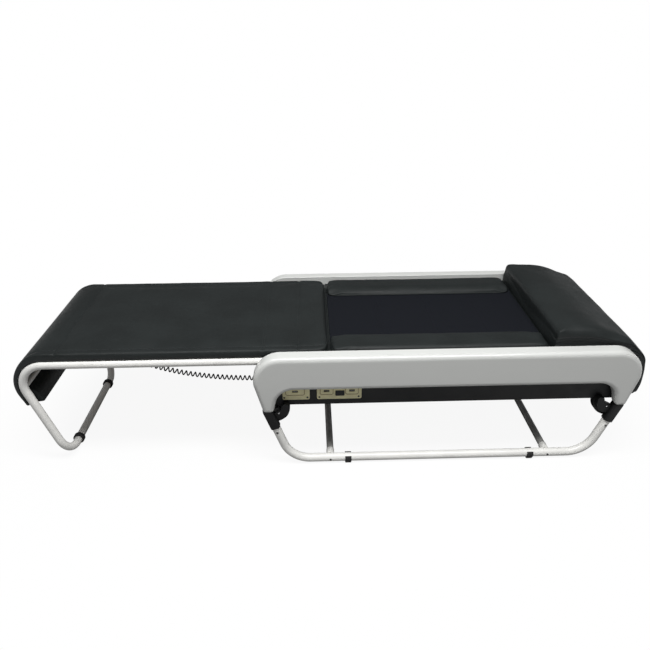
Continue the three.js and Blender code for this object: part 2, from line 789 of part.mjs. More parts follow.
function crossTube() {
  const reach = skidOffset - skidRadius / 2;
  const bar = crossRod(crossTubeRadius, crossTubePlace, skidHeight, -reach, reach, turnedSides);
  const boreRadius = crossTubeRadius - crossTubeWall;
  const bore = crossRod(boreRadius, crossTubePlace, skidHeight, -bedWidth, bedWidth, pinSides);
  const saddle = rodBetween(
    clearing(skidRadius + touchGap),
    new THREE.Vector3(0, skidOffset, skidHeight),
    new THREE.Vector3(2 * crossTubePlace, skidOffset, skidHeight),
  );
  return cut(bar, bore, saddle, reflected(saddle, "y"));
}
const crossTubeShape = crossTube();

function foot() {
  const outer = skidRadius + touchGap + footWall;
  const inner = skidRadius + touchGap;
  const start = Math.asin(footArmRise / outer);
  const arc = (radius) =>
    Array.from({ length: footSteps + 1 }, (_, i) => {
      const angle = start - ((Math.PI + 2 * start) * i) / footSteps;
      return new THREE.Vector2(skidOffset + radius * Math.cos(angle), skidHeight + radius * Math.sin(angle));
    });
  const points = [...arc(inner), ...arc(outer).reverse()];
  const clip = fixedFacing(
    extruded(points, footWidth)
      .applyMatrix4(
        new THREE.Matrix4().makeBasis(
          new THREE.Vector3(0, 1, 0),
          new THREE.Vector3(0, 0, 1),
          new THREE.Vector3(1, 0, 0),
        ),
      )
      .translate(footPlace - footWidth / 2, 0, 0),
  );
  const padTop = skidHeight - inner * Math.cos(Math.asin(footPadHalfWidth / outer));
  const pad = block(
    footPlace - footWidth / 2,
    footPlace + footWidth / 2,
    skidOffset - footPadHalfWidth,
    skidOffset + footPadHalfWidth,
    0,
    padTop,
  );
  const tubeSpace = rodBetween(
    clearing(inner),
    new THREE.Vector3(footPlace - footWidth, skidOffset, skidHeight),
    new THREE.Vector3(footPlace + footWidth, skidOffset, skidHeight),
  );
  const aboveFloor = block(0, fasciaLength, 0, bedWidth, 0, fasciaTop);
  return cut(join(clip, pad), tubeSpace).intersect(aboveFloor);
}
const footShape = foot();

for (const [side, sign] of sides) {
  add(mainSection, `skid_tube_${side}`, onSide(skidShape, sign), whitePaint);
  for (const [end, way] of ends) {
    add(mainSection, `knuckle_${side}_${end}`, onSide(onEnd(knuckleShape, way), sign), blackPlastic);
    add(mainSection, `rubber_foot_${side}_${end}`, onSide(onEnd(footShape, way), sign), blackRubber);
  }
}
for (const [end, way] of ends) add(mainSection, `cross_tube_${end}`, onEnd(crossTubeShape, way), greyPaint);

// Socket plates and rocker switch on the near wall
const plateBackY = -tubHalfWidth - touchGap;
const plateFrontY = plateBackY - plateThickness;
const blockFrontY = plateFrontY - socketBlockRise;
const plateTwoMiddle = (plateTwoLeft + plateTwoRight) / 2;
const switchTop = switchBottom + switchHeight;

function socketPlate(left, right, blocks, blockWidth) {
  const face = acrossBed(
    filleted(rectangle(left, plateBottom, right, plateTop, plateCornerRadius), plainArcSteps),
    plateFrontY,
    plateBackY,
  );
  const back = block(
    left + plateBackInset,
    right - plateBackInset,
    plateBackY - plateThickness / 2,
    plateBackY + plateBackDepth,
    plateBottom + plateBackInset,
    plateTop - plateBackInset,
  );
  const raised = blocks.map((x) =>
    acrossBed(
      filleted(
        rectangle(
          x - blockWidth / 2,
          socketBlockBottom,
          x + blockWidth / 2,
          socketBlockBottom + socketBlockHeight,
          plateCornerRadius,
        ),
        smallArcSteps,
      ),
      blockFrontY,
      plateBackY - plateThickness / 2,
    ),
  );
  const sockets = blocks.map((x) => {
    const low = socketBlockBottom + socketLift;
    return block(
      x - socketWidth / 2,
      x + socketWidth / 2,
      blockFrontY - overrun,
      blockFrontY + socketDepth,
      low,
      low + socketHeight,
    );
  });
  // The fascia's leg stands in front of the plate's hidden corner
  const fasciaOutline = filleted(insetCorners(fasciaCorners(), -touchGap));
  const fasciaSpace = acrossBed(fasciaOutline, -bedWidth, -fasciaInnerY + touchGap);
  return cut(join(face, back, ...raised), fasciaSpace, ...sockets);
}

function switchWell() {
  return block(
    plateTwoMiddle - switchWidth / 2 - runningGap,
    plateTwoMiddle + switchWidth / 2 + runningGap,
    plateFrontY - overrun,
    plateBackY + plateBackDepth + overrun,
    switchBottom - runningGap,
    switchTop + runningGap,
  );
}

// The rocker turns about a line along X through the middle of its depth
const switchPivotY = plateFrontY + switchDepth / 2 - switchRise;
const switchPivotZ = switchBottom + switchHeight / 2;

function rocker() {
  const half = switchHeight / 2;
  const tilt = THREE.MathUtils.degToRad(switchTilt);
  const front = plateFrontY - switchRise;
  const corners = [
    [front, switchPivotZ - half + runningGap],
    [switchPivotY, switchBottom + touchGap],
    [plateFrontY + switchDepth - switchRise, switchPivotZ - half / 2],
    [plateFrontY + switchDepth - switchRise, switchPivotZ + half / 2],
    [switchPivotY, switchTop - touchGap],
    [front, switchPivotZ + half - runningGap],
    [front + switchRise, switchPivotZ],
  ];
  const turnedCorners = corners.map(([y, z]) => {
    const dy = y - switchPivotY;
    const dz = z - switchPivotZ;
    return new THREE.Vector2(
      switchPivotY + dy * Math.cos(tilt) - dz * Math.sin(tilt),
      switchPivotZ + dy * Math.sin(tilt) + dz * Math.cos(tilt),
    );
  });
  return alongBed(turnedCorners, plateTwoMiddle - switchWidth / 2, plateTwoMiddle + switchWidth / 2);
}

const plateOneMiddle = (plateOneLeft + plateOneRight) / 2;
const blockSpacing = switchWidth / 2 + socketBlockGap + socketBlockWidth / 2;
const plateTwoBlocks = [plateTwoMiddle - blockSpacing, plateTwoMiddle + blockSpacing];
add(
  mainSection,
  "socket_plate_left",
  socketPlate(plateOneLeft, plateOneRight, [plateOneMiddle], plateOneBlockWidth),
  creamPlastic,
);
add(
  mainSection,
  "socket_plate_right",
  cut(socketPlate(plateTwoLeft, plateTwoRight, plateTwoBlocks, socketBlockWidth), switchWell()),
  creamPlastic,
);
add(mainSection, "rocker_switch", rocker(), blackPlastic);

// Lower case, its service cover and the lead's gland
const tubOutline = rectangle(-tubHalfLength, -tubHalfWidth, tubHalfLength, tubHalfWidth, tubCornerRadius);

function earSlot() {
  return block(
    earInner + neckInset - slotGap,
    earOuter - neckInset + slotGap,
    earOffset - slotGap,
    earOffset + earThickness + slotGap,
    tubBottom - overrun,
    tubBottom + tubWall + overrun,
  );
}

function plateOpening(left, right) {
  return block(
    left + plateBackInset - slotGap,
    right - plateBackInset + slotGap,
    -tubHalfWidth - overrun,
    -tubHalfWidth + tubWall + overrun,
    plateBottom + plateBackInset - slotGap,
    plateTop - plateBackInset + slotGap,
  );
}

function lowerTub() {
  const shell = cut(
    upright(filleted(tubOutline, plainArcSteps), tubBottom, tubTop),
    upright(filleted(insetCorners(tubOutline, tubWall), plainArcSteps), tubBottom + tubWall, tubTop + overrun),
  );
  const hatch = upright(
    filleted(
      rectangle(
        -serviceLength / 2 + serviceRim,
        -serviceWidth / 2 + serviceRim,
        serviceLength / 2 - serviceRim,
        serviceWidth / 2 - serviceRim,
        serviceCornerRadius,
      ),
      smallArcSteps,
    ),
    tubBottom - overrun,
    tubBottom + tubWall + overrun,
  );
  const slots = sides.flatMap(([, sign]) => ends.map(([, way]) => onSide(onEnd(earSlot(), way), sign)));
  const glandHole = rodBetween(
    glandRadius + touchGap,
    new THREE.Vector3(-tubHalfLength - overrun, cordY, cordEndHeight),
    new THREE.Vector3(-tubHalfLength + tubWall + overrun, cordY, cordEndHeight),
    tubeSides,
  );
  const openings = [plateOpening(plateOneLeft, plateOneRight), plateOpening(plateTwoLeft, plateTwoRight)];
  return cut(shell, hatch, ...slots, ...openings, glandHole);
}
add(mainSection, "lower_tub", lowerTub(), blackPlastic);

function serviceCover() {
  const outline = rectangle(
    -serviceLength / 2,
    -serviceWidth / 2,
    serviceLength / 2,
    serviceWidth / 2,
    serviceCornerRadius + serviceRim,
  );
  const top = tubBottom - touchGap;
  const vents = Array.from({ length: ventCount }, (_, i) => {
    const x = (i - (ventCount - 1) / 2) * ventPitch;
    return block(x - ventWidth / 2, x + ventWidth / 2, -ventLength / 2, ventLength / 2, 0, top + overrun);
  });
  return cut(upright(filleted(outline, smallArcSteps), top - serviceThickness, top), ...vents);
}
add(mainSection, "service_cover", serviceCover(), blackPlastic);

// Side beams, cross members and tracks
const beamInnerY = beamOuterY - beamWidth;
const beamHalfLength = tubHalfLength - tubWall - beamEndGap;
const boxSection = (y0, z0, y1, z1, wall) => [
  filleted(rectangle(y0, z0, y1, z1)),
  [filleted(rectangle(y0 + wall, z0 + wall, y1 - wall, z1 - wall)).reverse()],
];
const [beamOutline, beamHollow] = boxSection(beamInnerY, beamBottom, beamOuterY, beamTop, beamWall);
const beamShape = alongBed(beamOutline, -beamHalfLength, beamHalfLength, beamHollow);
for (const [side, sign] of sides) add(mainSection, `side_beam_${side}`, onSide(beamShape, sign), galvanised);

const trackBottom = beamTop - trackDrop;
const crossMemberTop = trackBottom - touchGap;
const crossMemberBottom = crossMemberTop - crossMemberHeight;
const trackTop = railHeight + legTubeRadius;
const wheelRadius = (trackTop - trackBottom) / 2 - trackWall - runningGap;
const wheelHeight = (trackTop + trackBottom) / 2;
const trackOuter = trackInner + trackWidth;

const trackOutline = [
  [trackInner, trackBottom],
  [trackOuter, trackBottom],
  [trackOuter, trackTop],
  [trackInner, trackTop],
  [trackInner, trackTop - trackWall],
  [trackOuter - trackWall, trackTop - trackWall],
  [trackOuter - trackWall, trackBottom + trackWall],
  [trackInner, trackBottom + trackWall],
];
const trackShape = alongBed(filleted(trackOutline), trackLeft, trackRight);
for (const [side, sign] of sides) {
  add(mainSection, `carriage_track_${side}`, onSide(trackShape, sign), galvanised);
}

// Each cross member carries a welded plate for the belt drive at its inner side
const pulleyHeight = trackBottom - pulleyDrop;
const motorPlateY = beltY - beltWidth / 2 - pulleyFlange - motorPlateThickness - runningGap;
const leftPulleyX = trackLeft + crossMemberWidth + pulleyInset;
const rightPulleyX = trackRight - crossMemberWidth - pulleyInset;

function crossMember(left, pulleyX, fixedPin) {
  const [outline, hollow] = [
    filleted(rectangle(left, crossMemberBottom, left + crossMemberWidth, crossMemberTop)),
    [
      filleted(
        rectangle(
          left + crossMemberWall,
          crossMemberBottom + crossMemberWall,
          left + crossMemberWidth - crossMemberWall,
          crossMemberTop - crossMemberWall,
        ),
      ).reverse(),
    ],
  ];
  const reach = beamInnerY - touchGap;
  const tubePiece = acrossBed(outline, -reach, reach, hollow);
  const towards = Math.sign(pulleyX - left);
  const near = towards > 0 ? left + crossMemberWidth - crossMemberWall : left + crossMemberWall;
  const far = pulleyX + towards * pulleyRadius;
  const plate = block(
    Math.min(near, far),
    Math.max(near, far),
    motorPlateY,
    motorPlateY + motorPlateThickness,
    pulleyHeight - pulleyRadius,
    crossMemberTop,
  );
  const whole = join(tubePiece, plate);
  const pinEnd = beltY + beltWidth / 2 + 2 * pulleyFlange;
  const pin = crossRod(pulleyPinRadius, pulleyX, pulleyHeight, motorPlateY, pinEnd, pinSides);
  if (fixedPin) return join(whole, pin);
  const hole = crossRod(
    pulleyPinRadius + runningGap,
    pulleyX,
    pulleyHeight,
    motorPlateY - overrun,
    motorPlateY + motorPlateThickness + overrun,
    pinSides,
  );
  return cut(whole, hole);
}
add(mainSection, "cross_member_left", crossMember(trackLeft, leftPulleyX, false), galvanised);
const rightMemberLeft = trackRight - crossMemberWidth;
add(mainSection, "cross_member_right", crossMember(rightMemberLeft, rightPulleyX, true), galvanised);

// Deck sheets stand on the case's rim and lie on the tracks
const deckBottom = trackTop + touchGap;
const deckTop = deckBottom + deckThickness;
const deckOutline = [
  [deckInner, deckBottom],
  [tubHalfWidth - deckThickness, deckBottom],
  [tubHalfWidth - deckThickness, tubTop + touchGap],
  [tubHalfWidth, tubTop + touchGap],
  [tubHalfWidth, deckTop],
  [deckInner, deckTop],
];
const deckShape = alongBed(filleted(deckOutline), deckLeft, deckRight);
for (const [side, sign] of sides) add(mainSection, `deck_${side}`, onSide(deckShape, sign), galvanised);

// Rail guides: two open saddles on one base strip
const guideBottom = beamTop + touchGap;
const guideInner = railOffset - legTubeRadius - guideWall;

function railGuide() {
  const strip = block(
    guideLeft,
    guideRight,
    guideInner,
    beamOuterY,
    guideBottom,
    guideBottom + guideBaseThickness,
  );
  const blocks = [guideLeft, guideRight - guideBlockLength].map((x) =>
    block(x, x + guideBlockLength, guideInner, beamOuterY, guideBottom, railHeight + guideMouthRise),
  );
  const bore = rodBetween(
    clearing(legTubeRadius + runningGap),
    new THREE.Vector3(guideLeft - overrun, railOffset, railHeight),
    new THREE.Vector3(guideRight + overrun, railOffset, railHeight),
  );
  return cut(join(strip, ...blocks), bore);
}
const guideShape = railGuide();
for (const [side, sign] of sides) add(mainSection, `rail_guide_${side}`, onSide(guideShape, sign), nylon);

// Control box behind the socket plates, with its circuit board
const boxFrontY = plateBackY + plateBackDepth + touchGap;
const boxBackY = boxFrontY + boxDepth;
const boxBottom = tubBottom + tubWall + touchGap;

function controlBox() {
  const body = block(boxLeft, boxRight, boxFrontY, boxBackY, boxBottom, boxTop);
  const inside = block(
    boxLeft + boxWall,
    boxRight - boxWall,
    boxFrontY + boxWall,
    boxBackY - boxWall,
    boxBottom + boxWall,
    boxTop + overrun,
  );
  const posts = [boxLeft + boardPostInset, boxRight - boardPostInset].map((x) =>
    upright(
      circle(boardPostRadius, smallSides).map((p) => p.add(new THREE.Vector2(x, (boxFrontY + boxBackY) / 2))),
      boxBottom,
      boxBottom + boxWall + boardRise,
    ),
  );
  return join(cut(body, inside), ...posts);
}
add(mainSection, "control_box", controlBox(), blackPlastic);

const boardBottom = boxBottom + boxWall + boardRise + touchGap;
add(
  mainSection,
  "control_board",
  block(
    boxLeft + boardMargin,
    boxRight - boardMargin,
    boxFrontY + boardMargin,
    boxBackY - boardMargin,
    boardBottom,
    boardBottom + boardThickness,
  ),
  circuitBoard,
);

// Belt drive: gear motor, toothed pulley with its shaft, idler pulley and belt
function motor() {
  const faceY = motorPlateY - touchGap;
  const body = crossRod(motorRadius, leftPulleyX, pulleyHeight, faceY - motorLength, faceY);
  const bore = crossRod(
    pulleyPinRadius + runningGap,
    leftPulleyX,
    pulleyHeight,
    faceY - motorShaftReach - runningGap,
    faceY + overrun,
    pinSides,
  );
  return cut(body, bore);
}
add(mainSection, "drive_motor", motor(), steel);

const pulleyProfile = (inner) => {
  const half = beltWidth / 2 + runningGap;
  return [
    [inner, beltY - half - pulleyFlange],
    [pulleyRadius + pulleyFlange, beltY - half - pulleyFlange],
    [pulleyRadius + pulleyFlange, beltY - half],
    [pulleyRadius, beltY - half],
    [pulleyRadius, beltY + half],
    [pulleyRadius + pulleyFlange, beltY + half],
    [pulleyRadius + pulleyFlange, beltY + half + pulleyFlange],
    [inner, beltY + half + pulleyFlange],
  ];
};

function drivePulley() {
  const wheel = turned(pulleyProfile(pulleyPinRadius / 2), leftPulleyX, pulleyHeight);
  const shaft = crossRod(
    pulleyPinRadius,
    leftPulleyX,
    pulleyHeight,
    motorPlateY - touchGap - motorShaftReach,
    beltY + beltWidth / 2,
    pinSides,
  );
  return join(wheel, shaft);
}
add(mainSection, "drive_pulley", drivePulley(), steel);
add(
  mainSection,
  "idler_pulley",
  turned(pulleyProfile(pulleyPinRadius + runningGap), rightPulleyX, pulleyHeight),
  nylon,
);

const beltInner = pulleyRadius + touchGap;
const beltOuter = beltInner + beltThickness;

// The belt's outline: half a turn round each pulley
function beltLoop(radius) {
  const turns = [
    [rightPulleyX, -Math.PI / 2],
    [leftPulleyX, Math.PI / 2],
  ];
  return turns.flatMap(([x, start]) =>
    Array.from({ length: 2 * arcSteps + 1 }, (_, i) => {
      const angle = start + (Math.PI * i) / (2 * arcSteps);
      return new THREE.Vector2(x + radius * Math.cos(angle), pulleyHeight + radius * Math.sin(angle));
    }),
  );
}
add(
  mainSection,
  "drive_belt",
  acrossBed(beltLoop(beltOuter), beltY - beltWidth / 2, beltY + beltWidth / 2, [beltLoop(beltInner).reverse()]),
  blackRubber,
);

// Massage carriage: plate, cheeks, wheel pins, roller axles and belt clamp in one welded piece
const plateUnderside = trackBottom + carriagePlateDrop;
const plateUpperside = plateUnderside + carriagePlateThickness;
const cheekOuter = trackInner - carriageTrackClearance;
const cheekInner = cheekOuter - carriageCheekThickness;
const jadeHeight = deckTop - jadeRadius;
const wheelInnerY = trackInner + runningGap;

function carriageFrame() {
  const half = carriageLength / 2;
  const plate = block(-half, half, -cheekOuter, cheekOuter, plateUnderside, plateUpperside);
  const windows = [-1, 1].map((way) => {
    const x = (way * jadeSpacingX) / 2;
    const width = jadeRadius + runningGap;
    return block(
      x - width,
      x + width,
      -jadeOffsetY - jadeLength,
      jadeOffsetY + jadeLength,
      plateUnderside - overrun,
      plateUpperside + overrun,
    );
  });
  const cheeks = [-1, 1].map((sign) => {
    const [low, high] = sign > 0 ? [cheekInner, cheekOuter] : [-cheekOuter, -cheekInner];
    return block(-half, half, low, high, plateUnderside, plateUnderside + carriageCheekHeight);
  });
  const axleReach = cheekInner + touchGap;
  const axles = [-1, 1].map((way) =>
    crossRod(jadePinRadius, (way * jadeSpacingX) / 2, jadeHeight, -axleReach, axleReach, pinSides),
  );
  const pinReach = wheelInnerY + wheelWidth;
  const pins = [-1, 1].flatMap((way) => [
    crossRod(wheelPinRadius, (way * wheelSpacing) / 2, wheelHeight, cheekInner, pinReach, pinSides),
    crossRod(wheelPinRadius, (way * wheelSpacing) / 2, wheelHeight, -pinReach, -cheekInner, pinSides),
  ]);
  const slotLow = pulleyHeight + beltInner - touchGap;
  const slotHigh = pulleyHeight + beltOuter + touchGap;
  const clamp = block(
    -clampLength / 2,
    clampLength / 2,
    beltY - beltWidth / 2 - clampWall,
    beltY + beltWidth / 2 + clampWall,
    slotLow - clampWall,
    plateUpperside,
  );
  const beltSlot = block(
    -clampLength,
    clampLength,
    beltY - beltWidth / 2 - touchGap,
    beltY + beltWidth / 2 + touchGap,
    slotLow,
    slotHigh,
  );
  return join(cut(plate, ...windows), ...cheeks, ...axles, ...pins, cut(clamp, beltSlot));
}
add(carriage, "carriage_frame", carriageFrame(), steel);

function carriageWheel(x) {
  const bore = wheelPinRadius + runningGap;
  const profile = [
    [bore, wheelInnerY],
    [wheelRadius - wheelEdge, wheelInnerY],
    [wheelRadius, wheelInnerY + wheelEdge],
    [wheelRadius, wheelInnerY + wheelWidth - wheelEdge],
    [wheelRadius - wheelEdge, wheelInnerY + wheelWidth],
    [bore, wheelInnerY + wheelWidth],
  ];
  return turned(profile, x, wheelHeight);
}

function jadeRoller(x) {
  const half = jadeLength / 2;
  const bore = jadePinRadius + runningGap;
  const bulge = jadeBulgeShares.map((share) => [
    jadeEndRadius + (jadeRadius - jadeEndRadius) * Math.sqrt(1 - share * share),
    jadeOffsetY + share * half,
  ]);
  return turned([[bore, jadeOffsetY - half], ...bulge, [bore, jadeOffsetY + half]], x, jadeHeight);
}

for (const [side, sign] of sides) {
  for (const [end, way] of ends) {
    const wheel = onSide(carriageWheel((way * wheelSpacing) / 2), sign);
    const roller = onSide(jadeRoller((way * jadeSpacingX) / 2), sign);
    add(carriage, `carriage_wheel_${side}_${end}`, wheel, nylon);
    add(carriage, `jade_roller_${side}_${end}`, roller, jade);
  }
}

// Leg section frame
const legRun = railHeight - legRollerRadius;
const legDown = new THREE.Vector3(legFootLeft - legCornerLeft, 0, -legRun).normalize();
const legBendTurn = new THREE.Vector3(-1, 0, 0).angleTo(legDown);
const legBendReach = legTopBend * Math.tan(legBendTurn / 2);
const legBendX = legCornerLeft + legBendReach;
const legBendZ = railHeight - legTopBend;
// A point at a given distance from the bend's centre, turned round from straight up towards the leg
const roundBend = (angle, distance) =>
  new THREE.Vector2(legBendX - distance * Math.sin(angle), legBendZ + distance * Math.cos(angle));

function legFrame() {
  const places = [
    new THREE.Vector3(railRight, -railOffset, railHeight),
    new THREE.Vector3(legCornerLeft, -railOffset, railHeight),
    new THREE.Vector3(legFootLeft, -railOffset, legRollerRadius),
    new THREE.Vector3(legFootLeft, railOffset, legRollerRadius),
    new THREE.Vector3(legCornerLeft, railOffset, railHeight),
    new THREE.Vector3(railRight, railOffset, railHeight),
  ];
  const radii = [legTopBend, legFootBend, legFootBend, legTopBend];
  const rings = bentRings(places, radii);
  const outer = tube(rings, legTubeRadius);
  const hollow = tube(lengthened(rings), legTubeRadius - legTubeWall, 0, smallSides);
  const barReach = railOffset - legTubeRadius / 2;
  const barHeight = railHeight + legTubeRadius - legBoardThickness - touchGap - legBarRadius;
  const bars = legBarShares.map((share) => {
    const x = THREE.MathUtils.lerp(legCornerLeft, legMatRight, share);
    return crossRod(legBarRadius, x, barHeight, -barReach, barReach, pinSides);
  });
  const bendBar = roundBend(THREE.MathUtils.degToRad(bendBarTurn), legTopBend);
  bars.push(crossRod(legBarRadius, bendBar.x, bendBar.y, -barReach, barReach, pinSides));
  return cut(join(outer, ...bars), hollow);
}

// The same rings with the two ends moved outwards, for a bore that runs through them
function lengthened(rings) {
  const longer = rings.map((ring) => ({ ...ring }));
  const last = longer.length - 1;
  longer[0].at = rings[0].at.clone().addScaledVector(rings[0].along, -overrun);
  longer[last].at = rings[last].at.clone().addScaledVector(rings[last].along, overrun);
  return longer;
}
add(legSection, "leg_frame", legFrame(), whitePaint);

const legBoardTop = railHeight + legTubeRadius;
add(
  legSection,
  "leg_board",
  block(
    legBendX,
    legBoardRight,
    -guideInner + runningGap,
    guideInner - runningGap,
    legBoardTop - legBoardThickness,
    legBoardTop,
  ),
  plywood,
);

function legRoller() {
  const half = legRollerWidth / 2;
  const bore = legTubeRadius + runningGap;
  const profile = [
    [bore, legRollerOffset - half],
    [legRollerRadius - legRollerEdge, legRollerOffset - half],
    [legRollerRadius, legRollerOffset - half + legRollerEdge],
    [legRollerRadius, legRollerOffset + half - legRollerEdge],
    [legRollerRadius - legRollerEdge, legRollerOffset + half],
    [bore, legRollerOffset + half],
  ];
  return turned(profile, legFootLeft, legRollerRadius, rollerSides);
}
const legRollerShape = legRoller();
for (const [side, sign] of sides) {
  add(legSection, `leg_roller_${side}`, onSide(legRollerShape, sign), blackRubber);
}

// Leg mat: it lies on the rails, wraps round the outside of the bends and hangs down the slanted legs
const matBottom = legBoardTop + touchGap;
const wrapInner = (legTopBend + legTubeRadius + touchGap) / Math.cos(legBendTurn / 2 / wrapSteps);
const matEdgeInsets = [matLowerInset, 0, 0, matUpperInset];

function legMatStations() {
  const thick = matTop - matBottom;
  const flat = (x, share = 1, seam = 0) => ({
    at: new THREE.Vector2(x, matBottom),
    out: new THREE.Vector2(0, 1),
    thickness: thick * share,
    seam,
  });
  const stations = matEndPlaceShares.map((share, i) => flat(legMatRight - thick * share, matEndHeightShares[i]));
  for (const share of legSeamShares) {
    const place = THREE.MathUtils.lerp(legMatRight, legBendX, share);
    stations.push(flat(place + matSeamHalfWidth), flat(place, 1, 1), flat(place - matSeamHalfWidth));
  }
  for (let k = 0; k <= wrapSteps; k++) {
    const angle = (legBendTurn * k) / wrapSteps;
    stations.push({
      at: roundBend(angle, wrapInner),
      out: roundBend(angle, 1).sub(roundBend(angle, 0)),
      thickness: THREE.MathUtils.lerp(thick, wrapThickness, Math.min(1, k / wrapSteps / wrapThinningShare)),
      seam: 0,
    });
  }
  const last = stations[stations.length - 1];
  const drop = (last.at.y - wrapBottom) / -legDown.z;
  wrapPlaceShares.forEach((share, i) => {
    stations.push({
      at: new THREE.Vector2(last.at.x + legDown.x * drop * share, last.at.y + legDown.z * drop * share),
      out: last.out,
      thickness: wrapThickness * wrapThicknessShares[i],
      seam: 0,
    });
  });
  return stations;
}

// One closed section of a mat: flat below, drawn in at its lower edge, and crowned above with a sewn line by
// each side
function matSection({ at, out, thickness, seam }, halfWidth, edgeSeam) {
  const dip = Math.min(matSeamDepth, thickness * matSeamShare);
  const crown = thickness - seam * dip;
  const half = [
    ...matEdgeHeightShares.map((share, i) => [halfWidth - matEdgeInsets[i], share * thickness]),
    [halfWidth - edgeSeam + matSeamHalfWidth, thickness],
    [halfWidth - edgeSeam, thickness - dip],
    [halfWidth - edgeSeam - matSeamHalfWidth, crown],
    ...matCrownShares.map((share) => [(halfWidth - edgeSeam) * (1 - share), crown]),
  ];
  const whole = [...half, [0, crown], ...half.map(([y, n]) => [-y, n]).reverse()];
  return whole.map(([y, n]) => new THREE.Vector3(at.x + out.x * n, y, at.y + out.y * n));
}
const legMat = loft(legMatStations().map((station) => matSection(station, legMatHalfWidth, legEdgeSeam)));
add(legSection, "leg_mat", legMat, blackLeather);

// Main mat: two bolsters on the decks and a channel cloth between them
const channelBottom = deckTop + touchGap;
const channelTop = channelBottom + channelThickness;
const channelHalfWidth = deckInner + channelLip;

function bolster() {
  const low = channelBottom;
  const step = channelTop + touchGap;
  const inner = bolsterInner;
  const outer = bolsterOuter;
  const rabbet = channelHalfWidth + touchGap;
  const section = (x, rise) => {
    const top = step + (matTop - step) * rise;
    const round = Math.min(bolsterEdgeRound, (matTop - step) * rise * bolsterRoundShare);
    const [cornerIn, cornerDown] = bolsterCornerShares.map((share) => share * round);
    const crown = [
      [outer, low + (top - low) * bolsterSideShare],
      [outer, top - round],
      [outer - cornerIn, top - cornerDown],
      [outer - round, top],
      [(inner + bolsterShoulder + outer) / 2, top],
      ...bolsterShoulderShares.map(([across, up]) => [inner + bolsterShoulder * across, step + (top - step) * up]),
    ];
    const foot = [
      [inner + 2 * touchGap, step],
      [rabbet, step],
      [rabbet, low],
      [outer - 2 * touchGap, low],
    ];
    return [...foot, ...crown].map(([y, z]) => new THREE.Vector3(x, y, z));
  };
  const rounding = bolsterEndPlaceShares.map((share) => ({
    inwards: share * bolsterEndRound,
    rise: Math.max(bolsterLeastRiseShare, Math.sqrt(1 - (1 - share) ** 2)),
  }));
  const leftRows = rounding.map(({ inwards, rise }) => section(deckLeft + inwards, rise));
  const rightRows = rounding.map(({ inwards, rise }) => section(bolsterRight - inwards, rise)).reverse();
  const placeAlong = (share) => THREE.MathUtils.lerp(deckLeft, bolsterRight, share);
  const middles = bolsterMiddleShares.map((share) => section(placeAlong(share), 1));
  return loft([...leftRows, ...middles, ...rightRows]);
}
const bolsterShape = bolster();
for (const [side, sign] of sides) add(mainSection, `bolster_${side}`, onSide(bolsterShape, sign), blackLeather);

function channelCover() {
  const section = (x, seam) => {
    const upper = channelWidthShares.map((share) => {
      const open = Math.abs(share) < deckInner / channelHalfWidth;
      const dip = open ? seam * channelThickness * channelSeamDepthShare : 0;
      return new THREE.Vector3(x, share * channelHalfWidth, channelTop - dip);
    });
    const lower = [-1, 1].map((share) => new THREE.Vector3(x, share * channelHalfWidth, channelBottom));
    return [...upper, ...lower];
  };
  const stations = [section(deckLeft, 0)];
  for (const share of channelSeamShares) {
    const place = THREE.MathUtils.lerp(deckLeft, mainMatRight, share);
    stations.push(section(place - matSeamHalfWidth, 0), section(place, 1), section(place + matSeamHalfWidth, 0));
  }
  stations.push(section(mainMatRight, 0));
  return loft(stations);
}
add(mainSection, "channel_cover", channelCover(), channelCloth);

// Head board: a sheet bent down over the head end, with side flanges on the case's rim
const boardInnerRadius = headBendRadius - headBoardThickness;
const headBoardLeft = deckRight + touchGap;
const headBendZ = deckTop - headBendRadius;

function headBoard() {
  const outline = [
    [headBoardLeft, deckBottom],
    [headBendStart + boardInnerRadius, deckBottom, boardInnerRadius],
    [headBendStart + boardInnerRadius, headBoardBottom],
    [headBendStart + headBendRadius, headBoardBottom],
    [headBendStart + headBendRadius, deckTop, headBendRadius],
    [headBoardLeft, deckTop],
  ];
  const sheet = acrossBed(filleted(outline), -headBoardHalfWidth, headBoardHalfWidth);
  const wing = block(
    headBoardLeft,
    tubHalfLength,
    headBoardHalfWidth - overrun,
    tubHalfWidth,
    deckBottom,
    deckTop,
  );
  const flange = block(
    headBoardLeft,
    tubHalfLength - tubCornerRadius,
    tubHalfWidth - deckThickness,
    tubHalfWidth,
    tubTop + touchGap,
    deckTop,
  );
  const side = join(wing, flange);
  return join(sheet, side, reflected(side, "y"));
}
add(mainSection, "head_board", headBoard(), galvanised);

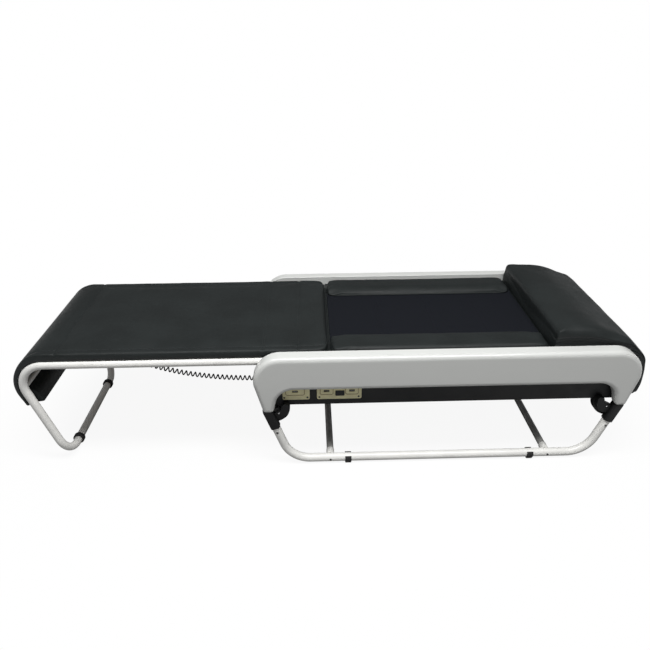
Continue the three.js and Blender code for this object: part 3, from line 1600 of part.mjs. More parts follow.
// Head cushion: a high front shelf, a slope, and a wrap over the head end
function headStations() {
  const base = deckTop + touchGap;
  const up = new THREE.Vector2(0, 1);
  const flat = (x, thickness) => ({ at: new THREE.Vector2(x, base), out: up, thickness, seam: 0 });
  const shelfEnd = headFront + headShelfLength;
  const ofRise = (start, placeShares, heightShares) =>
    placeShares.map((share, i) => flat(start + headRise * share, headRise * heightShares[i]));
  const stations = [
    ...ofRise(headFront, headFrontPlaceShares, headFrontRiseShares),
    ...ofRise(shelfEnd, headShelfPlaceShares, headShelfRiseShares),
    flat((shelfEnd + headBendStart) / 2, THREE.MathUtils.lerp(headRise, headSlopeRise, headMiddleShare)),
    flat(headBendStart - headRise * headSlopeEndShare, headSlopeRise),
  ];
  const inner = (headBendRadius + touchGap) / Math.cos(Math.PI / 4 / headBendSteps);
  for (let k = 0; k <= headBendSteps; k++) {
    const share = k / headBendSteps;
    const angle = (share * Math.PI) / 2;
    const out = new THREE.Vector2(Math.sin(angle), Math.cos(angle));
    const at = new THREE.Vector2(headBendStart, headBendZ).addScaledVector(out, inner);
    const toShoulder = THREE.MathUtils.lerp(headSlopeRise, headShoulderThickness, Math.min(1, 2 * share));
    const fromShoulder = THREE.MathUtils.lerp(headShoulderThickness, headWrapThickness, 2 * share - 1);
    stations.push({ at, out, thickness: share < 0.5 ? toShoulder : fromShoulder, seam: 0 });
  }
  const side = headBendStart + inner;
  const out = new THREE.Vector2(1, 0);
  const fall = headBendZ - headWrapBottom;
  headWrapPlaceShares.forEach((share, i) => {
    const flared = THREE.MathUtils.lerp(headWrapThickness, headWrapFlare, headFlareShares[i]);
    const thickness = flared * headThinningShares[i];
    stations.push({ at: new THREE.Vector2(side, headBendZ - fall * share), out, thickness, seam: 0 });
  });
  return stations;
}
const headCushion = loft(headStations().map((station) => matSection(station, headHalfWidth, legEdgeSeam)));
add(mainSection, "head_cushion", headCushion, blackLeather);

// Coiled lead: from a plug under the leg board to a gland in the case's end wall
const plugTop = legBoardTop - legBoardThickness - touchGap;
const plugFaceX = plugRight;
const glandFaceX = -tubHalfLength - glandLength;
const cordStart = new THREE.Vector3(plugFaceX + touchGap, cordY, plugTop - cordStartDrop);
const cordEnd = new THREE.Vector3(glandFaceX - touchGap, cordY, cordEndHeight);
add(
  legSection,
  "lead_plug",
  block(
    plugFaceX - plugLength,
    plugFaceX,
    cordY - plugWidth / 2,
    cordY + plugWidth / 2,
    plugTop - plugHeight,
    plugTop,
  ),
  blackPlastic,
);

function leadGland() {
  const shank = rodBetween(
    glandRadius,
    new THREE.Vector3(glandFaceX + glandLength / 2, cordY, cordEndHeight),
    new THREE.Vector3(-tubHalfLength + tubWall + touchGap, cordY, cordEndHeight),
    tubeSides,
  );
  const nut = rodBetween(
    glandNutRadius,
    new THREE.Vector3(glandFaceX, cordY, cordEndHeight),
    new THREE.Vector3(-tubHalfLength - touchGap, cordY, cordEndHeight),
    nutSides,
  );
  return join(shank, nut);
}
add(mainSection, "lead_gland", leadGland(), blackPlastic);

// The curl's rings: straight for one diameter at each end, then wound round a sagging centre line
function cordRings() {
  const straight = 2 * cordRadius;
  const from = cordStart.clone().add(new THREE.Vector3(straight, 0, 0));
  const to = cordEnd.clone().add(new THREE.Vector3(-straight, 0, 0));
  const between = cordRouteShares.map((share, i) => {
    const x = THREE.MathUtils.lerp(cordStart.x, cordEnd.x, share);
    return new THREE.Vector3(x, cordY, THREE.MathUtils.lerp(cordStart.z, cordEnd.z, cordFallShares[i]));
  });
  const centre = new THREE.CatmullRomCurve3([from, ...between, to], false, "centripetal");
  const steps = curlCount * curlSteps;
  const points = [cordStart.clone(), from.clone()];
  for (let i = 1; i < steps; i++) {
    const u = i / steps;
    const along = centre.getTangentAt(u);
    const sideways = new THREE.Vector3(0, 1, 0);
    const up = along.clone().cross(sideways).normalize();
    const angle = (2 * Math.PI * i) / curlSteps;
    const grown = Math.min(1, i / curlSteps, (steps - i) / curlSteps);
    const radius = coilRadius * Math.sin((grown * Math.PI) / 2);
    points.push(
      centre
        .getPointAt(u)
        .addScaledVector(sideways, radius * Math.cos(angle))
        .addScaledVector(up, radius * Math.sin(angle)),
    );
  }
  points.push(to.clone(), cordEnd.clone());
  return points.map((at, i) => {
    const before = points[Math.max(0, i - 1)];
    const after = points[Math.min(points.length - 1, i + 1)];
    const nearEnd = i < 2 || i > points.length - 3;
    return { at, along: nearEnd ? new THREE.Vector3(1, 0, 0) : after.clone().sub(before).normalize() };
  });
}
const leadRings = cordRings();
add(legSection, "coiled_lead", tube(leadRings, cordRadius, 0, cordSides), blackRubber);

// The least gap that the lead leaves to itself, between points at least half a curl apart
function leastGap(rings) {
  let least = Infinity;
  for (let i = 0; i < rings.length; i++) {
    for (let j = i + curlSteps / 2; j < rings.length; j++) {
      least = Math.min(least, rings[i].at.distanceTo(rings[j].at) - 2 * cordRadius);
    }
  }
  return least;
}
console.log(`least gap of the coiled lead to itself: ${leastGap(leadRings).toFixed(2)} mm`);

// The origin: on the floor, under the middle of the bed's length
const whole = new THREE.Box3().setFromObject(bed);
bed.position.x = -(whole.min.x + whole.max.x) / 2;

export default bed;
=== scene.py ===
# Massage bed: the looks of its leg section, main section and stand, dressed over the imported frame
import json
import math

import bmesh
import bpy
from bpy.props import FloatProperty, FloatVectorProperty, IntProperty, PointerProperty
from mathutils import Matrix, Vector, noise
from mathutils.bvhtree import BVHTree


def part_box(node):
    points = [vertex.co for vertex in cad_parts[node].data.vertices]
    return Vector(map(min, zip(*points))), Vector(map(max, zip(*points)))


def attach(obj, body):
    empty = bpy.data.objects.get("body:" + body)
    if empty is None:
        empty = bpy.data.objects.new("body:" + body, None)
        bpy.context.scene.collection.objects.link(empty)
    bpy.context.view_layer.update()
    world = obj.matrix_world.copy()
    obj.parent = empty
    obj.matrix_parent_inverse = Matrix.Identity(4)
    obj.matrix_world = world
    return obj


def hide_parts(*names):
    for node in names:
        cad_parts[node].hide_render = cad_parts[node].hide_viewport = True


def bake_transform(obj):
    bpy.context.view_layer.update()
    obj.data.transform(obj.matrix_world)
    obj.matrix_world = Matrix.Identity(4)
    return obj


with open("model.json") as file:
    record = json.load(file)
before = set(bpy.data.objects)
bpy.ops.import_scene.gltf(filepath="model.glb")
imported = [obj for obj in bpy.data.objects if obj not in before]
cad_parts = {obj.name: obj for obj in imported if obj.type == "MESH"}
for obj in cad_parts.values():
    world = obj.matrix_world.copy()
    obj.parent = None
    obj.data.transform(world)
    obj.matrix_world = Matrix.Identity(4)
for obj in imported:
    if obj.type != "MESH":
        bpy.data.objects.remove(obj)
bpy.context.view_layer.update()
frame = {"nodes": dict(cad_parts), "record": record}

bl_info = {
    "name": "Massage bed",
    "version": (1, 0, 0),
    "blender": (4, 5, 0),
    "location": "3D View > Sidebar > Massage bed",
    "description": "Dresses the frame of a roller massage bed with its covers, tubes, pads and lead",
    "category": "Object",
}

MM = 0.001

# Places in millimetres, from the middle of the main section and from the floor, as the frame has them
MIDDLE = (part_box("fascia_near")[0].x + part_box("fascia_near")[1].x) / 2

# Side panels
PANEL_HALF = 645
PANEL_TOP = 450
PANEL_OUTER = 350
PANEL_INNER = 301
PANEL_WALL = 3
PANEL_TIP_DEPTH = 315
PANEL_LOWER_EDGE = 325.5
INNER_WALL_BOTTOM = 400
PANEL_TIP = 236
PANEL_TIP_OUTER = 617
PANEL_TIP_INNER = 583
PANEL_BOSSES = [-447.7, -151.25, 151.25, 447.7]

# The right half of a panel's outline, from the lower edge round to the top: x, z and radius
PANEL_CORNERS = [
    (562, PANEL_LOWER_EDGE, 66),
    (PANEL_TIP_INNER, PANEL_TIP, 12),
    (PANEL_TIP_OUTER, PANEL_TIP, 12),
    (PANEL_HALF, 346, 60),
    (PANEL_HALF, PANEL_TOP, 93),
]

# Case and stand
CASE_SIDE = 299
CASE_LEFT = -619
CASE_BOTTOM = 237
SKID_Y = 320
SKID_Z = 18.5
SKID_RADIUS = 15
SKID_LEAN = 0.35
SKID_CORNER = PANEL_TIP_OUTER - 10.5 - SKID_LEAN * (PANEL_TIP - SKID_Z)
SKID_BEND = 98.2
SKID_END = 218
SKID_SCREW = 143.5
SCREW_SEAT = SKID_Y + 14.8
KNUCKLE_SCREW = (567, 323, 218)
KNUCKLE_TOP = CASE_BOTTOM - 0.3
EAR_DEPTHS = (-301, -275)
CHEEK_DEPTHS = (-323, -299.4)
LUG_DEPTHS = (-258, -246)
COVER_SCREWS_X = (-200, 0, 200)
COVER_SCREWS_Y = (-153, 153)
COVER_FACE = 234.3
CROSS_X = 390
CROSS_RADIUS = 12.5
CROSS_REACH = 309
FOOT_X = 327
SLEEVE_RADIUS = 17
SLEEVE_BOTTOM = 160.5

# Leg section
RAIL_Y = 278
RAIL_Z = 403
RAIL_RIGHT = -100
LEG_CORNER = -1452
LEG_FOOT = -1331
LEG_TUBE = 14
LEG_TOP_BEND = 82
LEG_FOOT_BEND = 75
ROLLER_RADIUS = 20
ROLLER_Y = 180
ROLLER_WIDTH = 18
BAR_RADIUS = 10
BAR_Z = 398.7
BAR_PLACES = [-1276, -860, -414]
BEND_BAR_TURN = 93
MAT_BOTTOM = 417.3
MAT_TOP = 448
MAT_RIGHT = -396
MAT_HALF = 287
MAT_SEAMS = [-497, -613, -1296]
EDGE_SEAM = 30
WRAP_THICKNESS = 18
WRAP_BOTTOM = 245
HEM_TONGUE = 37
HEM_HALF = 263
HEM_DROOP = 14
MAT_FACING = (MAT_BOTTOM - 0.1, MAT_BOTTOM + 0.7)

# Deck, channel cloth, bolsters and head cushion
DECK_TOP = 420.6
DECK_SKIN = (DECK_TOP - 0.25, DECK_TOP - 0.05)
LIP_BOTTOM = 417.6
LIP_HALF = 298
FLAP_BOTTOM = 386
FLAP_HALF = 258
FACING_HALF = 296
MAIN_LEFT = -386
CHANNEL_RIGHT = 355
CHANNEL_HALF = 206
CHANNEL_TOP = 424.6
CHANNEL_SEAMS = [-193.3, -8.1, 179.4]
BOLSTER_INNER = 163
BOLSTER_OUTER = 288
BOLSTER_SHOULDER = 46
BOLSTER_RIGHT = 348
HEAD_FRONT = 357
HEAD_HALF = 296
HEAD_BEND = 618
HEAD_BEND_RADIUS = 40
HEAD_BOTTOM = 247

# Sewn lines along the cushion's sides, as shares of its height
HEAD_BANDS = [0.44, 0.55, 0.66]

# Socket plates and rocker switch
PLATE_FRONT = -302.3
PLATE_BACK = -299.3
BLOCK_FRONT = -306.3
PLATE_LOW = 259
PLATE_HIGH = 326
PLATE_LEFT = (-559, -460)
PLATE_RIGHT = (-435.5, -283)
PLATE_SHOWN_FROM = -552.5
PLATE_SCREWS_X = (-547, -468, -427, -293)
PLATE_SCREWS_Z = (268, 317.5)
BLOCK_LOW = 281
BLOCK_HIGH = 310
SOCKET_LOW = 290
SOCKET_HIGH = 299
SOCKET_WIDTH = 19
SOCKET_PINS = (-5.4, -1.8, 1.8, 5.4)
ROCKER_X = -357
ROCKER_Z = 283
ROCKER_Y = -300.3

# Coiled lead
LEAD_Y = -240
LEAD_START = (-1029.7, 396.7)
LEAD_END = (-619.3, 310)
LEAD_SHARES = [(0.0431, 0.1811), (0.2551, 0.5617), (0.4671, 0.7924), (0.6913, 0.9308), (0.913, 0.9885)]
LEAD_RADIUS = 2.25
LEAD_COIL = 7
LEAD_CURLS = 27
CURL_STEPS = 16

# Steps round a bend, marks beside a sewn line in millimetres, and frames that a pad takes to fill
BEND_STEPS = 20
SEAM_LEAD = (2.5, 7)
FILL_FRAMES = 20


def bed(x, y, z):
    """A place in the object's frame, in metres, from one in millimetres from the main section's middle"""
    return Vector((MIDDLE + x * MM, y * MM, z * MM))


def mix(a, b, share):
    """A value between two others: the first where the share is 0, the second where it is 1"""
    return a + (b - a) * share


def smooth_step(share):
    """A share from 0 to 1 that starts and ends gently"""
    share = min(1.0, max(0.0, share))
    return share * share * (3 - 2 * share)


# Outlines: corners of a closed polygon, each (x, z, radius)
def rounded(corners, steps):
    """The polygon's points, with its corners rounded"""
    points = []
    for i, (x, z, radius) in enumerate(corners):
        at = Vector((x, z))
        back = (Vector(corners[i - 1][:2]) - at).normalized()
        on = (Vector(corners[(i + 1) % len(corners)][:2]) - at).normalized()
        half = math.acos(max(-1, min(1, back.dot(on)))) / 2
        centre = at + (back + on).normalized() * (radius / math.sin(half))
        first = at + back * (radius / math.tan(half)) - centre
        last = at + on * (radius / math.tan(half)) - centre
        start = math.atan2(first.y, first.x)
        turn = math.atan2(first.x * last.y - first.y * last.x, first.dot(last))
        count = max(1, math.ceil(steps * abs(turn) / (math.pi / 2)))
        for k in range(count + 1):
            angle = start + turn * k / count
            points.append(centre + radius * Vector((math.cos(angle), math.sin(angle))))
    return points


def inset(corners, gap):
    """The same polygon with every side moved inwards"""
    moved = []
    for i, (x, z, radius) in enumerate(corners):
        before, after = corners[i - 1], corners[(i + 1) % len(corners)]
        into = Vector((x - before[0], z - before[1])).normalized()
        out = Vector((after[0] - x, after[1] - z)).normalized()
        scale = gap / (1 + into.dot(out))
        convex = into.x * out.y - into.y * out.x > 0
        new_radius = max(radius + (-gap if convex else gap), 0.3)
        moved.append((x - (into.y + out.y) * scale, z + (into.x + out.x) * scale, new_radius))
    return moved


def rectangle(x0, z0, x1, z1, radius):
    """Corners of a rectangle between two opposite ones"""
    return [(x0, z0, radius), (x1, z0, radius), (x1, z1, radius), (x0, z1, radius)]


# Meshes
def piece_from(name, points, faces, finish, smooth_angle=35):
    """A new piece from points and faces, closed, with its faces turned outwards"""
    mesh = bpy.data.meshes.new(name)
    mesh.from_pydata([tuple(p) for p in points], [], faces)
    tidy_mesh(mesh, smooth_angle)
    mesh.materials.append(finish)
    piece = bpy.data.objects.new(name, mesh)
    bpy.context.scene.collection.objects.link(piece)
    return piece


def tidy_mesh(mesh, smooth_angle):
    """Merges doubles, turns the faces outwards and shades the mesh smooth up to an angle"""
    work = bmesh.new()
    work.from_mesh(mesh)
    bmesh.ops.remove_doubles(work, verts=work.verts, dist=1e-6)
    bmesh.ops.recalc_face_normals(work, faces=work.faces)
    work.to_mesh(mesh)
    work.free()
    mesh.shade_smooth()
    mesh.set_sharp_from_angle(angle=math.radians(smooth_angle))


class Shells:
    """Closed shells that are gathered into one mesh"""

    def __init__(self):
        self.points, self.faces = [], []

    def add(self, points, faces):
        """One more shell, from its points and faces"""
        first = len(self.points)
        self.points += [Vector(p) for p in points]
        self.faces += [[first + i for i in face] for face in faces]
        return self

    def rings(self, rings, closed=False):
        """A skin over rings of as many points each, with both ends capped or joined to each other"""
        count = len(rings[0])
        faces = []
        spans = len(rings) if closed else len(rings) - 1
        for r in range(spans):
            a, b = r * count, ((r + 1) % len(rings)) * count
            for k in range(count):
                n = (k + 1) % count
                faces.append([a + k, a + n, b + n, b + k])
        if not closed:
            faces.append(list(range(count))[::-1])
            faces.append([(len(rings) - 1) * count + k for k in range(count)])
        return self.add([p for ring in rings for p in ring], faces)

    def plate(self, corners, y0, y1, edge, steps):
        """An outline with rounded edges from y0 to y1, both in the bed's millimetres"""
        rings = []
        edge_steps = 3
        for y, turn_in in ((y0, 1), (y1, -1)):
            turns = range(edge_steps + 1) if turn_in > 0 else range(edge_steps, -1, -1)
            for k in turns:
                angle = math.pi / 2 * k / edge_steps
                gap = edge * (1 - math.sin(angle))
                at = y + turn_in * edge * (1 - math.cos(angle))
                rings.append([bed(p.x, at, p.y) for p in rounded(inset(corners, gap), steps)])
        return self.rings(rings)

    def mirrored(self, axis):
        """The same shells reflected across the bed's middle, along y or along x"""
        turned = Shells()
        for p in self.points:
            q = p.copy()
            if axis == "y":
                q.y = -q.y
            else:
                q.x = 2 * MIDDLE - q.x
            turned.points.append(q)
        turned.faces = [list(reversed(face)) for face in self.faces]
        return turned

    def piece(self, name, finish, smooth_angle=35):
        """All the shells as one piece"""
        return piece_from(name, self.points, self.faces, finish, smooth_angle)


def turned(profile, centre, axis, sides):
    """Rings of a turned piece round a place: profile is (radius, distance along the axis) in millimetres"""
    axis = Vector(axis).normalized()
    side = axis.orthogonal().normalized()
    other = axis.cross(side)
    rings = []
    for radius, along in profile:
        ring = []
        for k in range(sides):
            angle = 2 * math.pi * k / sides
            out = side * math.cos(angle) + other * math.sin(angle)
            ring.append(centre + (axis * along + out * radius) * MM)
        rings.append(ring)
    return rings


def bent_path(places, radii):
    """Points along a route whose inner corners are rounded, all in the object's frame and in metres"""
    points = [places[0]]
    for i in range(1, len(places) - 1):
        into = (places[i] - places[i - 1]).normalized()
        out = (places[i + 1] - places[i]).normalized()
        turn = into.angle(out)
        radius = radii[i - 1] * MM
        reach = radius * math.tan(turn / 2)
        side = (out - into * out.dot(into)).normalized()
        start = places[i] - into * reach
        for k in range(BEND_STEPS + 1):
            angle = turn * k / BEND_STEPS
            points.append(start + into * radius * math.sin(angle) + side * radius * (1 - math.cos(angle)))
    points.append(places[-1])
    return points


def even_curve(places, count):
    """Evenly spaced points on a smooth curve through the places"""
    fine = []
    guides = [places[0] * 2 - places[1], *places, places[-1] * 2 - places[-2]]
    for i in range(1, len(guides) - 2):
        p = guides[i - 1 : i + 3]
        times = [0.0]
        for a, b in zip(p, p[1:]):
            times.append(times[-1] + (b - a).length ** 0.5)
        for k in range(40):
            t = mix(times[1], times[2], k / 40)
            fine.append(curve_point(p, times, t))
    fine.append(places[-1])
    return resampled(fine, count)


def curve_point(p, times, t):
    """A point of a centripetal curve through four places"""

    def between(a, b, ta, tb):
        return a * ((tb - t) / (tb - ta)) + b * ((t - ta) / (tb - ta))

    first = [between(p[i], p[i + 1], times[i], times[i + 1]) for i in range(3)]
    second = [between(first[i], first[i + 1], times[i], times[i + 2]) for i in range(2)]
    return between(second[0], second[1], times[1], times[2])


def resampled(points, count):
    """The same line with evenly spaced points"""
    lengths = [0.0]
    for a, b in zip(points, points[1:]):
        lengths.append(lengths[-1] + (b - a).length)
    result, k = [], 0
    for i in range(count + 1):
        want = lengths[-1] * i / count
        while k < len(points) - 2 and lengths[k + 1] < want:
            k += 1
        share = (want - lengths[k]) / max(1e-12, lengths[k + 1] - lengths[k])
        result.append(points[k].lerp(points[k + 1], share))
    return result


def path_length(points):
    """The length along a line of points"""
    return sum((b - a).length for a, b in zip(points, points[1:]))


def spaced(length, edge, cell, lines=()):
    """Marks from 0 to length in millimetres: close together at both ends and beside each sewn line"""
    marks = {0, length}
    for share in (0.12, 0.3, 0.55, 1):
        marks |= {edge * share, length - edge * share}
    for line in lines:
        marks |= {line}
        for gap in SEAM_LEAD:
            marks |= {line - gap, line + gap}
    marks = sorted(m for m in marks if 0 <= m <= length)
    full = [marks[0]]
    for mark in marks[1:]:
        gap = mark - full[-1]
        count = max(1, round(gap / cell))
        start = full[-1]
        full += [start + gap * (k + 1) / count for k in range(count)]
    return full


class Slab:
    """The grid of a padded box: a closed skin whose points keep their marks along, across and up"""

    def __init__(self, along, across, up, place):
        self.marks, self.points, self.faces, index = [], [], [], {}
        last = (len(along) - 1, len(across) - 1, len(up) - 1)

        def corner(*at):
            if at not in index:
                index[at] = len(self.points)
                marks = (along[at[0]], across[at[1]], up[at[2]])
                self.marks.append(marks)
                self.points.append(place(*marks))
            return index[at]

        for fixed in range(3):
            first, second = [a for a in range(3) if a != fixed]
            for end in (0, last[fixed]):
                for i in range(last[first]):
                    for j in range(last[second]):
                        face = []
                        for di, dj in ((0, 0), (1, 0), (1, 1), (0, 1)):
                            at = [0, 0, 0]
                            at[fixed], at[first], at[second] = end, i + di, j + dj
                            face.append(corner(*at))
                        self.faces.append(face)

    def piece(self, name, finish):
        """The slab as a piece, smooth all over"""
        return piece_from(name, self.points, self.faces, finish, 180)


def rounded_box(s, a, h, length, half, height, top_round, low_round):
    """A point of a box's skin moved onto the same box with rounded edges, all in millimetres"""
    radius = top_round if h > height / 2 else low_round
    radius = min(radius, height * 0.49)
    inner = Vector(
        (
            max(radius, min(length - radius, s)),
            max(radius - half, min(half - radius, a)),
            max(radius, min(height - radius, h)),
        )
    )
    out = Vector((s, a, h)) - inner
    return inner + out.normalized() * radius if out.length > 1e-9 else inner


def plan_half(s, half, radius):
    """The half-width of a pad whose first corners are rounded, seen from above"""
    reach = max(0.0, radius - s)
    return half - radius + math.sqrt(max(0.0, radius * radius - reach * reach))


def smooth_height(stations, at):
    """A height on the smooth curve through the stations"""
    last = len(stations) - 1
    number = next((n for n in range(last) if at <= stations[n + 1][0]), last - 1)

    def slope(n):
        (a, low), (b, high) = stations[max(n - 1, 0)], stations[min(n + 1, last)]
        return (high - low) / (b - a)

    (a, low), (b, high) = stations[number], stations[number + 1]
    share = min(1, max(0, (at - a) / (b - a)))
    rise = (high - low) * smooth_step(share)
    lead = (b - a) * share * (1 - share) * (slope(number) * (1 - share) - slope(number + 1) * share)
    return low + rise + lead


# Node trees, for materials and for geometry
class Value:
    """One socket of a node tree, so that the maths on it is written as an expression"""

    def __init__(self, tree, socket):
        self.tree, self.socket = tree, socket

    def __add__(self, other):
        return self.tree.math("ADD", self, other)

    def __sub__(self, other):
        return self.tree.math("SUBTRACT", self, other)

    def __rsub__(self, other):
        return self.tree.math("SUBTRACT", other, self)

    def __mul__(self, other):
        return self.tree.math("MULTIPLY", self, other)

    def __truediv__(self, other):
        return self.tree.math("DIVIDE", self, other)

    __radd__ = __add__
    __rmul__ = __mul__


class Tree:
    """A node tree being built"""

    def __init__(self, nodes):
        self.tree = nodes

    def node(self, kind, settings=None, sockets=None):
        """Any node: its settings first, then the values or links of its sockets, by name or by number"""
        made = self.tree.nodes.new(kind)
        for key, value in (settings or {}).items():
            if key == "stops":
                ramp = made.color_ramp
                while len(ramp.elements) < len(value):
                    ramp.elements.new(1)
                for stop, (place, colour) in zip(ramp.elements, value):
                    stop.position, stop.color = place, (*colour, 1)
            else:
                setattr(made, key, value)
        for key, value in (sockets or {}).items():
            self.put(made.inputs[key], value)
        return made

    def put(self, socket, value):
        """Links a socket to a node or to another socket, or gives it a value"""
        if isinstance(value, Value):
            value = value.socket
        if isinstance(value, bpy.types.NodeSocket):
            self.tree.links.new(value, socket)
        elif isinstance(value, bpy.types.Node):
            self.tree.links.new(value.outputs[0], socket)
        else:
            socket.default_value = value

    def math(self, operation, *values):
        """The result of one Math node"""
        made = self.node("ShaderNodeMath", {"operation": operation}, dict(enumerate(values)))
        return Value(self, made.outputs[0])


class Finish(Tree):
    """A material being built round one shader"""

    def __init__(self, name, colour, roughness, **fixed):
        self.material = bpy.data.materials.new(name)
        self.material.use_nodes = True
        super().__init__(self.material.node_tree)
        self.shader = self.tree.nodes["Principled BSDF"]
        self.coordinates = self.node("ShaderNodeTexCoord").outputs["Object"]
        self.set("Base Color", (*colour, 1))
        self.set("Roughness", roughness)
        for key, value in fixed.items():
            self.set(key.replace("_", " ").title().replace("Ior", "IOR"), value)
        self.material.diffuse_color = (*colour, 1)

    def set(self, socket, value):
        """Links or sets one socket of the shader"""
        self.put(self.shader.inputs[socket], value)

    def stretched(self, stretch):
        """Object coordinates scaled differently along x, y and z"""
        if stretch == (1, 1, 1):
            return self.coordinates
        return self.node("ShaderNodeMapping", {}, {"Vector": self.coordinates, "Scale": stretch}).outputs[0]

    def noise(self, size, detail=3.0, roughness=0.5, stretch=(1, 1, 1), distortion=0.0):
        """Cloudy noise from 0 to 1, with lumps of about the given size in millimetres"""
        sockets = {
            "Vector": self.stretched(stretch),
            "Scale": 1 / (size * MM),
            "Detail": detail,
            "Roughness": roughness,
            "Distortion": distortion,
        }
        return Value(self, self.node("ShaderNodeTexNoise", {}, sockets).outputs[0])

    def cells(self, size, feature="F1", stretch=(1, 1, 1)):
        """The distance within cells of the given size in millimetres"""
        sockets = {"Vector": self.stretched(stretch), "Scale": 1 / (size * MM)}
        made = self.node("ShaderNodeTexVoronoi", {"feature": feature}, sockets)
        return Value(self, made.outputs["Distance"])

    def axis(self, letter):
        """The place along one axis, in metres"""
        parts = self.node("ShaderNodeSeparateXYZ", {}, {0: self.coordinates})
        return Value(self, parts.outputs[letter])

    def facing(self, letter):
        """How far the surface faces one way, from -1 to 1"""
        normal = self.node("ShaderNodeNewGeometry").outputs["Normal"]
        return Value(self, self.node("ShaderNodeSeparateXYZ", {}, {0: normal}).outputs[letter])

    def span(self, value, low, high, new_low=0.0, new_high=1.0):
        """The value's range stretched to a new one and held within it"""
        settings = {"interpolation_type": "SMOOTHSTEP"}
        sockets = {0: value, 1: low, 2: high, 3: new_low, 4: new_high}
        return Value(self, self.node("ShaderNodeMapRange", settings, sockets).outputs[0])

    def blend(self, share, first, second):
        """A colour between two others"""
        made = self.node("ShaderNodeMix", {"data_type": "RGBA"}, {0: share})
        for number, colour in ((6, first), (7, second)):
            self.put(made.inputs[number], (*colour, 1) if isinstance(colour, tuple) else colour)
        return made.outputs[2]

    def bump(self, height, depth):
        """Relief of the given depth in millimetres where the height goes from 0 to 1"""
        made = self.node("ShaderNodeBump", {}, {"Height": height, "Distance": depth * MM, "Strength": 1.0})
        self.set("Normal", made.outputs[0])


def shade(colour, factor):
    """A colour made lighter or darker"""
    return tuple(min(1.0, c * factor) for c in colour)


def wear(finish):
    """The worn edges that a piece carries, from 0 to 1"""
    made = finish.node("ShaderNodeAttribute", {"attribute_name": "edge_wear"})
    return Value(finish, made.outputs["Fac"])


# Finishes, one for each of the record's material slots
def upholstery(colours):
    """Soft artificial leather: pebbled grain, fine creases and a slight polish where it is rubbed"""
    base = tuple(colours.upholstery)
    made = Finish("soft black leather", base, 0.52, Specular_IOR_Level=0.22)
    pebble = made.cells(1.7, "SMOOTH_F1")
    crease = made.noise(16, 5, 0.62, distortion=0.6)
    creases = made.span(crease, 0.47, 0.5) * (1 - made.span(crease, 0.5, 0.53))
    broad = made.noise(140, 3)
    tone = made.blend(made.span(broad, 0.3, 0.7), shade(base, 0.88), shade(base, 1.14))
    dusty = made.span(made.noise(45, 4), 0.55, 0.85) * 0.35
    made.set("Base Color", made.blend(dusty, tone, shade(base, 1.5)))
    made.set("Roughness", made.span(broad, 0.25, 0.75, 0.43, 0.56) + pebble * 0.06)
    made.bump(pebble * 0.55 + creases * 0.5 + made.noise(5, 4) * 0.4, 0.28)
    return made.material


def channel_cloth(colours):
    """Dark woven cloth with threads of about a millimetre across each other"""
    base = tuple(colours.channel_cloth)
    made = Finish("dark woven cloth", base, 0.85, Specular_IOR_Level=0.12)
    warp = made.math("SINE", made.axis("X") * (2 * math.pi / (1.4 * MM)))
    weft = made.math("SINE", made.axis("Y") * (2 * math.pi / (1.4 * MM)))
    weave = made.math("MAXIMUM", warp, weft) * 0.5 + 0.5
    fuzz = made.noise(3, 4)
    made.set("Base Color", made.blend(weave * 0.6 + fuzz * 0.4, shade(base, 0.6), shade(base, 1.35)))
    made.set("Roughness", 0.78 + fuzz * 0.16)
    made.bump(weave * 0.7 + fuzz * 0.3, 0.35)
    return made.material


def white_plastic(colours):
    """Glossy moulded cover: a faint ripple, a little dust and edges gone matt with handling"""
    base = tuple(colours.white_plastic)
    made = Finish("glossy white moulding", base, 0.28, Coat_Weight=0.25, Coat_Roughness=0.12)
    cloud = made.noise(180, 3)
    dust = made.span(made.noise(9, 6, 0.7), 0.52, 0.8)
    upward = made.span(made.facing("Z"), 0.2, 0.9)
    tone = made.blend(made.span(cloud, 0.2, 0.8), shade(base, 0.985), base)
    made.set("Base Color", made.blend(dust * upward * 0.1 + wear(made) * 0.12, tone, shade(base, 0.8)))
    made.set("Roughness", 0.28 + dust * 0.05 + wear(made) * 0.2)
    made.bump(made.noise(7, 2) * 0.8 + made.noise(0.9, 2) * 0.2, 0.06)
    return made.material


def black_plastic(colours):
    """Textured black moulding with spark-eroded grain and paler worn edges"""
    base = tuple(colours.black_plastic)
    made = Finish("grained black moulding", base, 0.5, Specular_IOR_Level=0.3)
    grain = made.noise(0.8, 3)
    cloud = made.noise(60, 4)
    worn = wear(made) * made.span(made.noise(6, 4), 0.35, 0.7)
    tone = made.blend(made.span(cloud, 0.3, 0.7), shade(base, 0.8), shade(base, 1.3))
    made.set("Base Color", made.blend(worn * 0.6, tone, shade(base, 4.5)))
    made.set("Roughness", made.span(cloud, 0.25, 0.75, 0.44, 0.6) + grain * 0.08)
    made.bump(grain, 0.07)
    return made.material


def white_paint(colours):
    """Powder coat on steel tube: orange peel, scuffs low down and a few rubbed spots"""
    base = tuple(colours.white_paint)
    made = Finish("white powder coat", base, 0.34, Coat_Weight=0.2, Coat_Roughness=0.2)
    peel = made.noise(1.6, 2)
    cloud = made.noise(90, 4)
    scuff = made.span(made.noise(4, 6, 0.7, stretch=(0.25, 1, 1)), 0.62, 0.72)
    low = 1 - made.span(made.axis("Z"), 0.0, 0.09)
    tone = made.blend(made.span(cloud, 0.3, 0.7), shade(base, 0.95), shade(base, 1.02))
    made.set("Base Color", made.blend(scuff * low * 0.35, tone, shade(base, 0.45)))
    made.set("Roughness", made.span(cloud, 0.25, 0.75, 0.28, 0.42) + scuff * 0.15)
    made.bump(peel, 0.05)
    return made.material


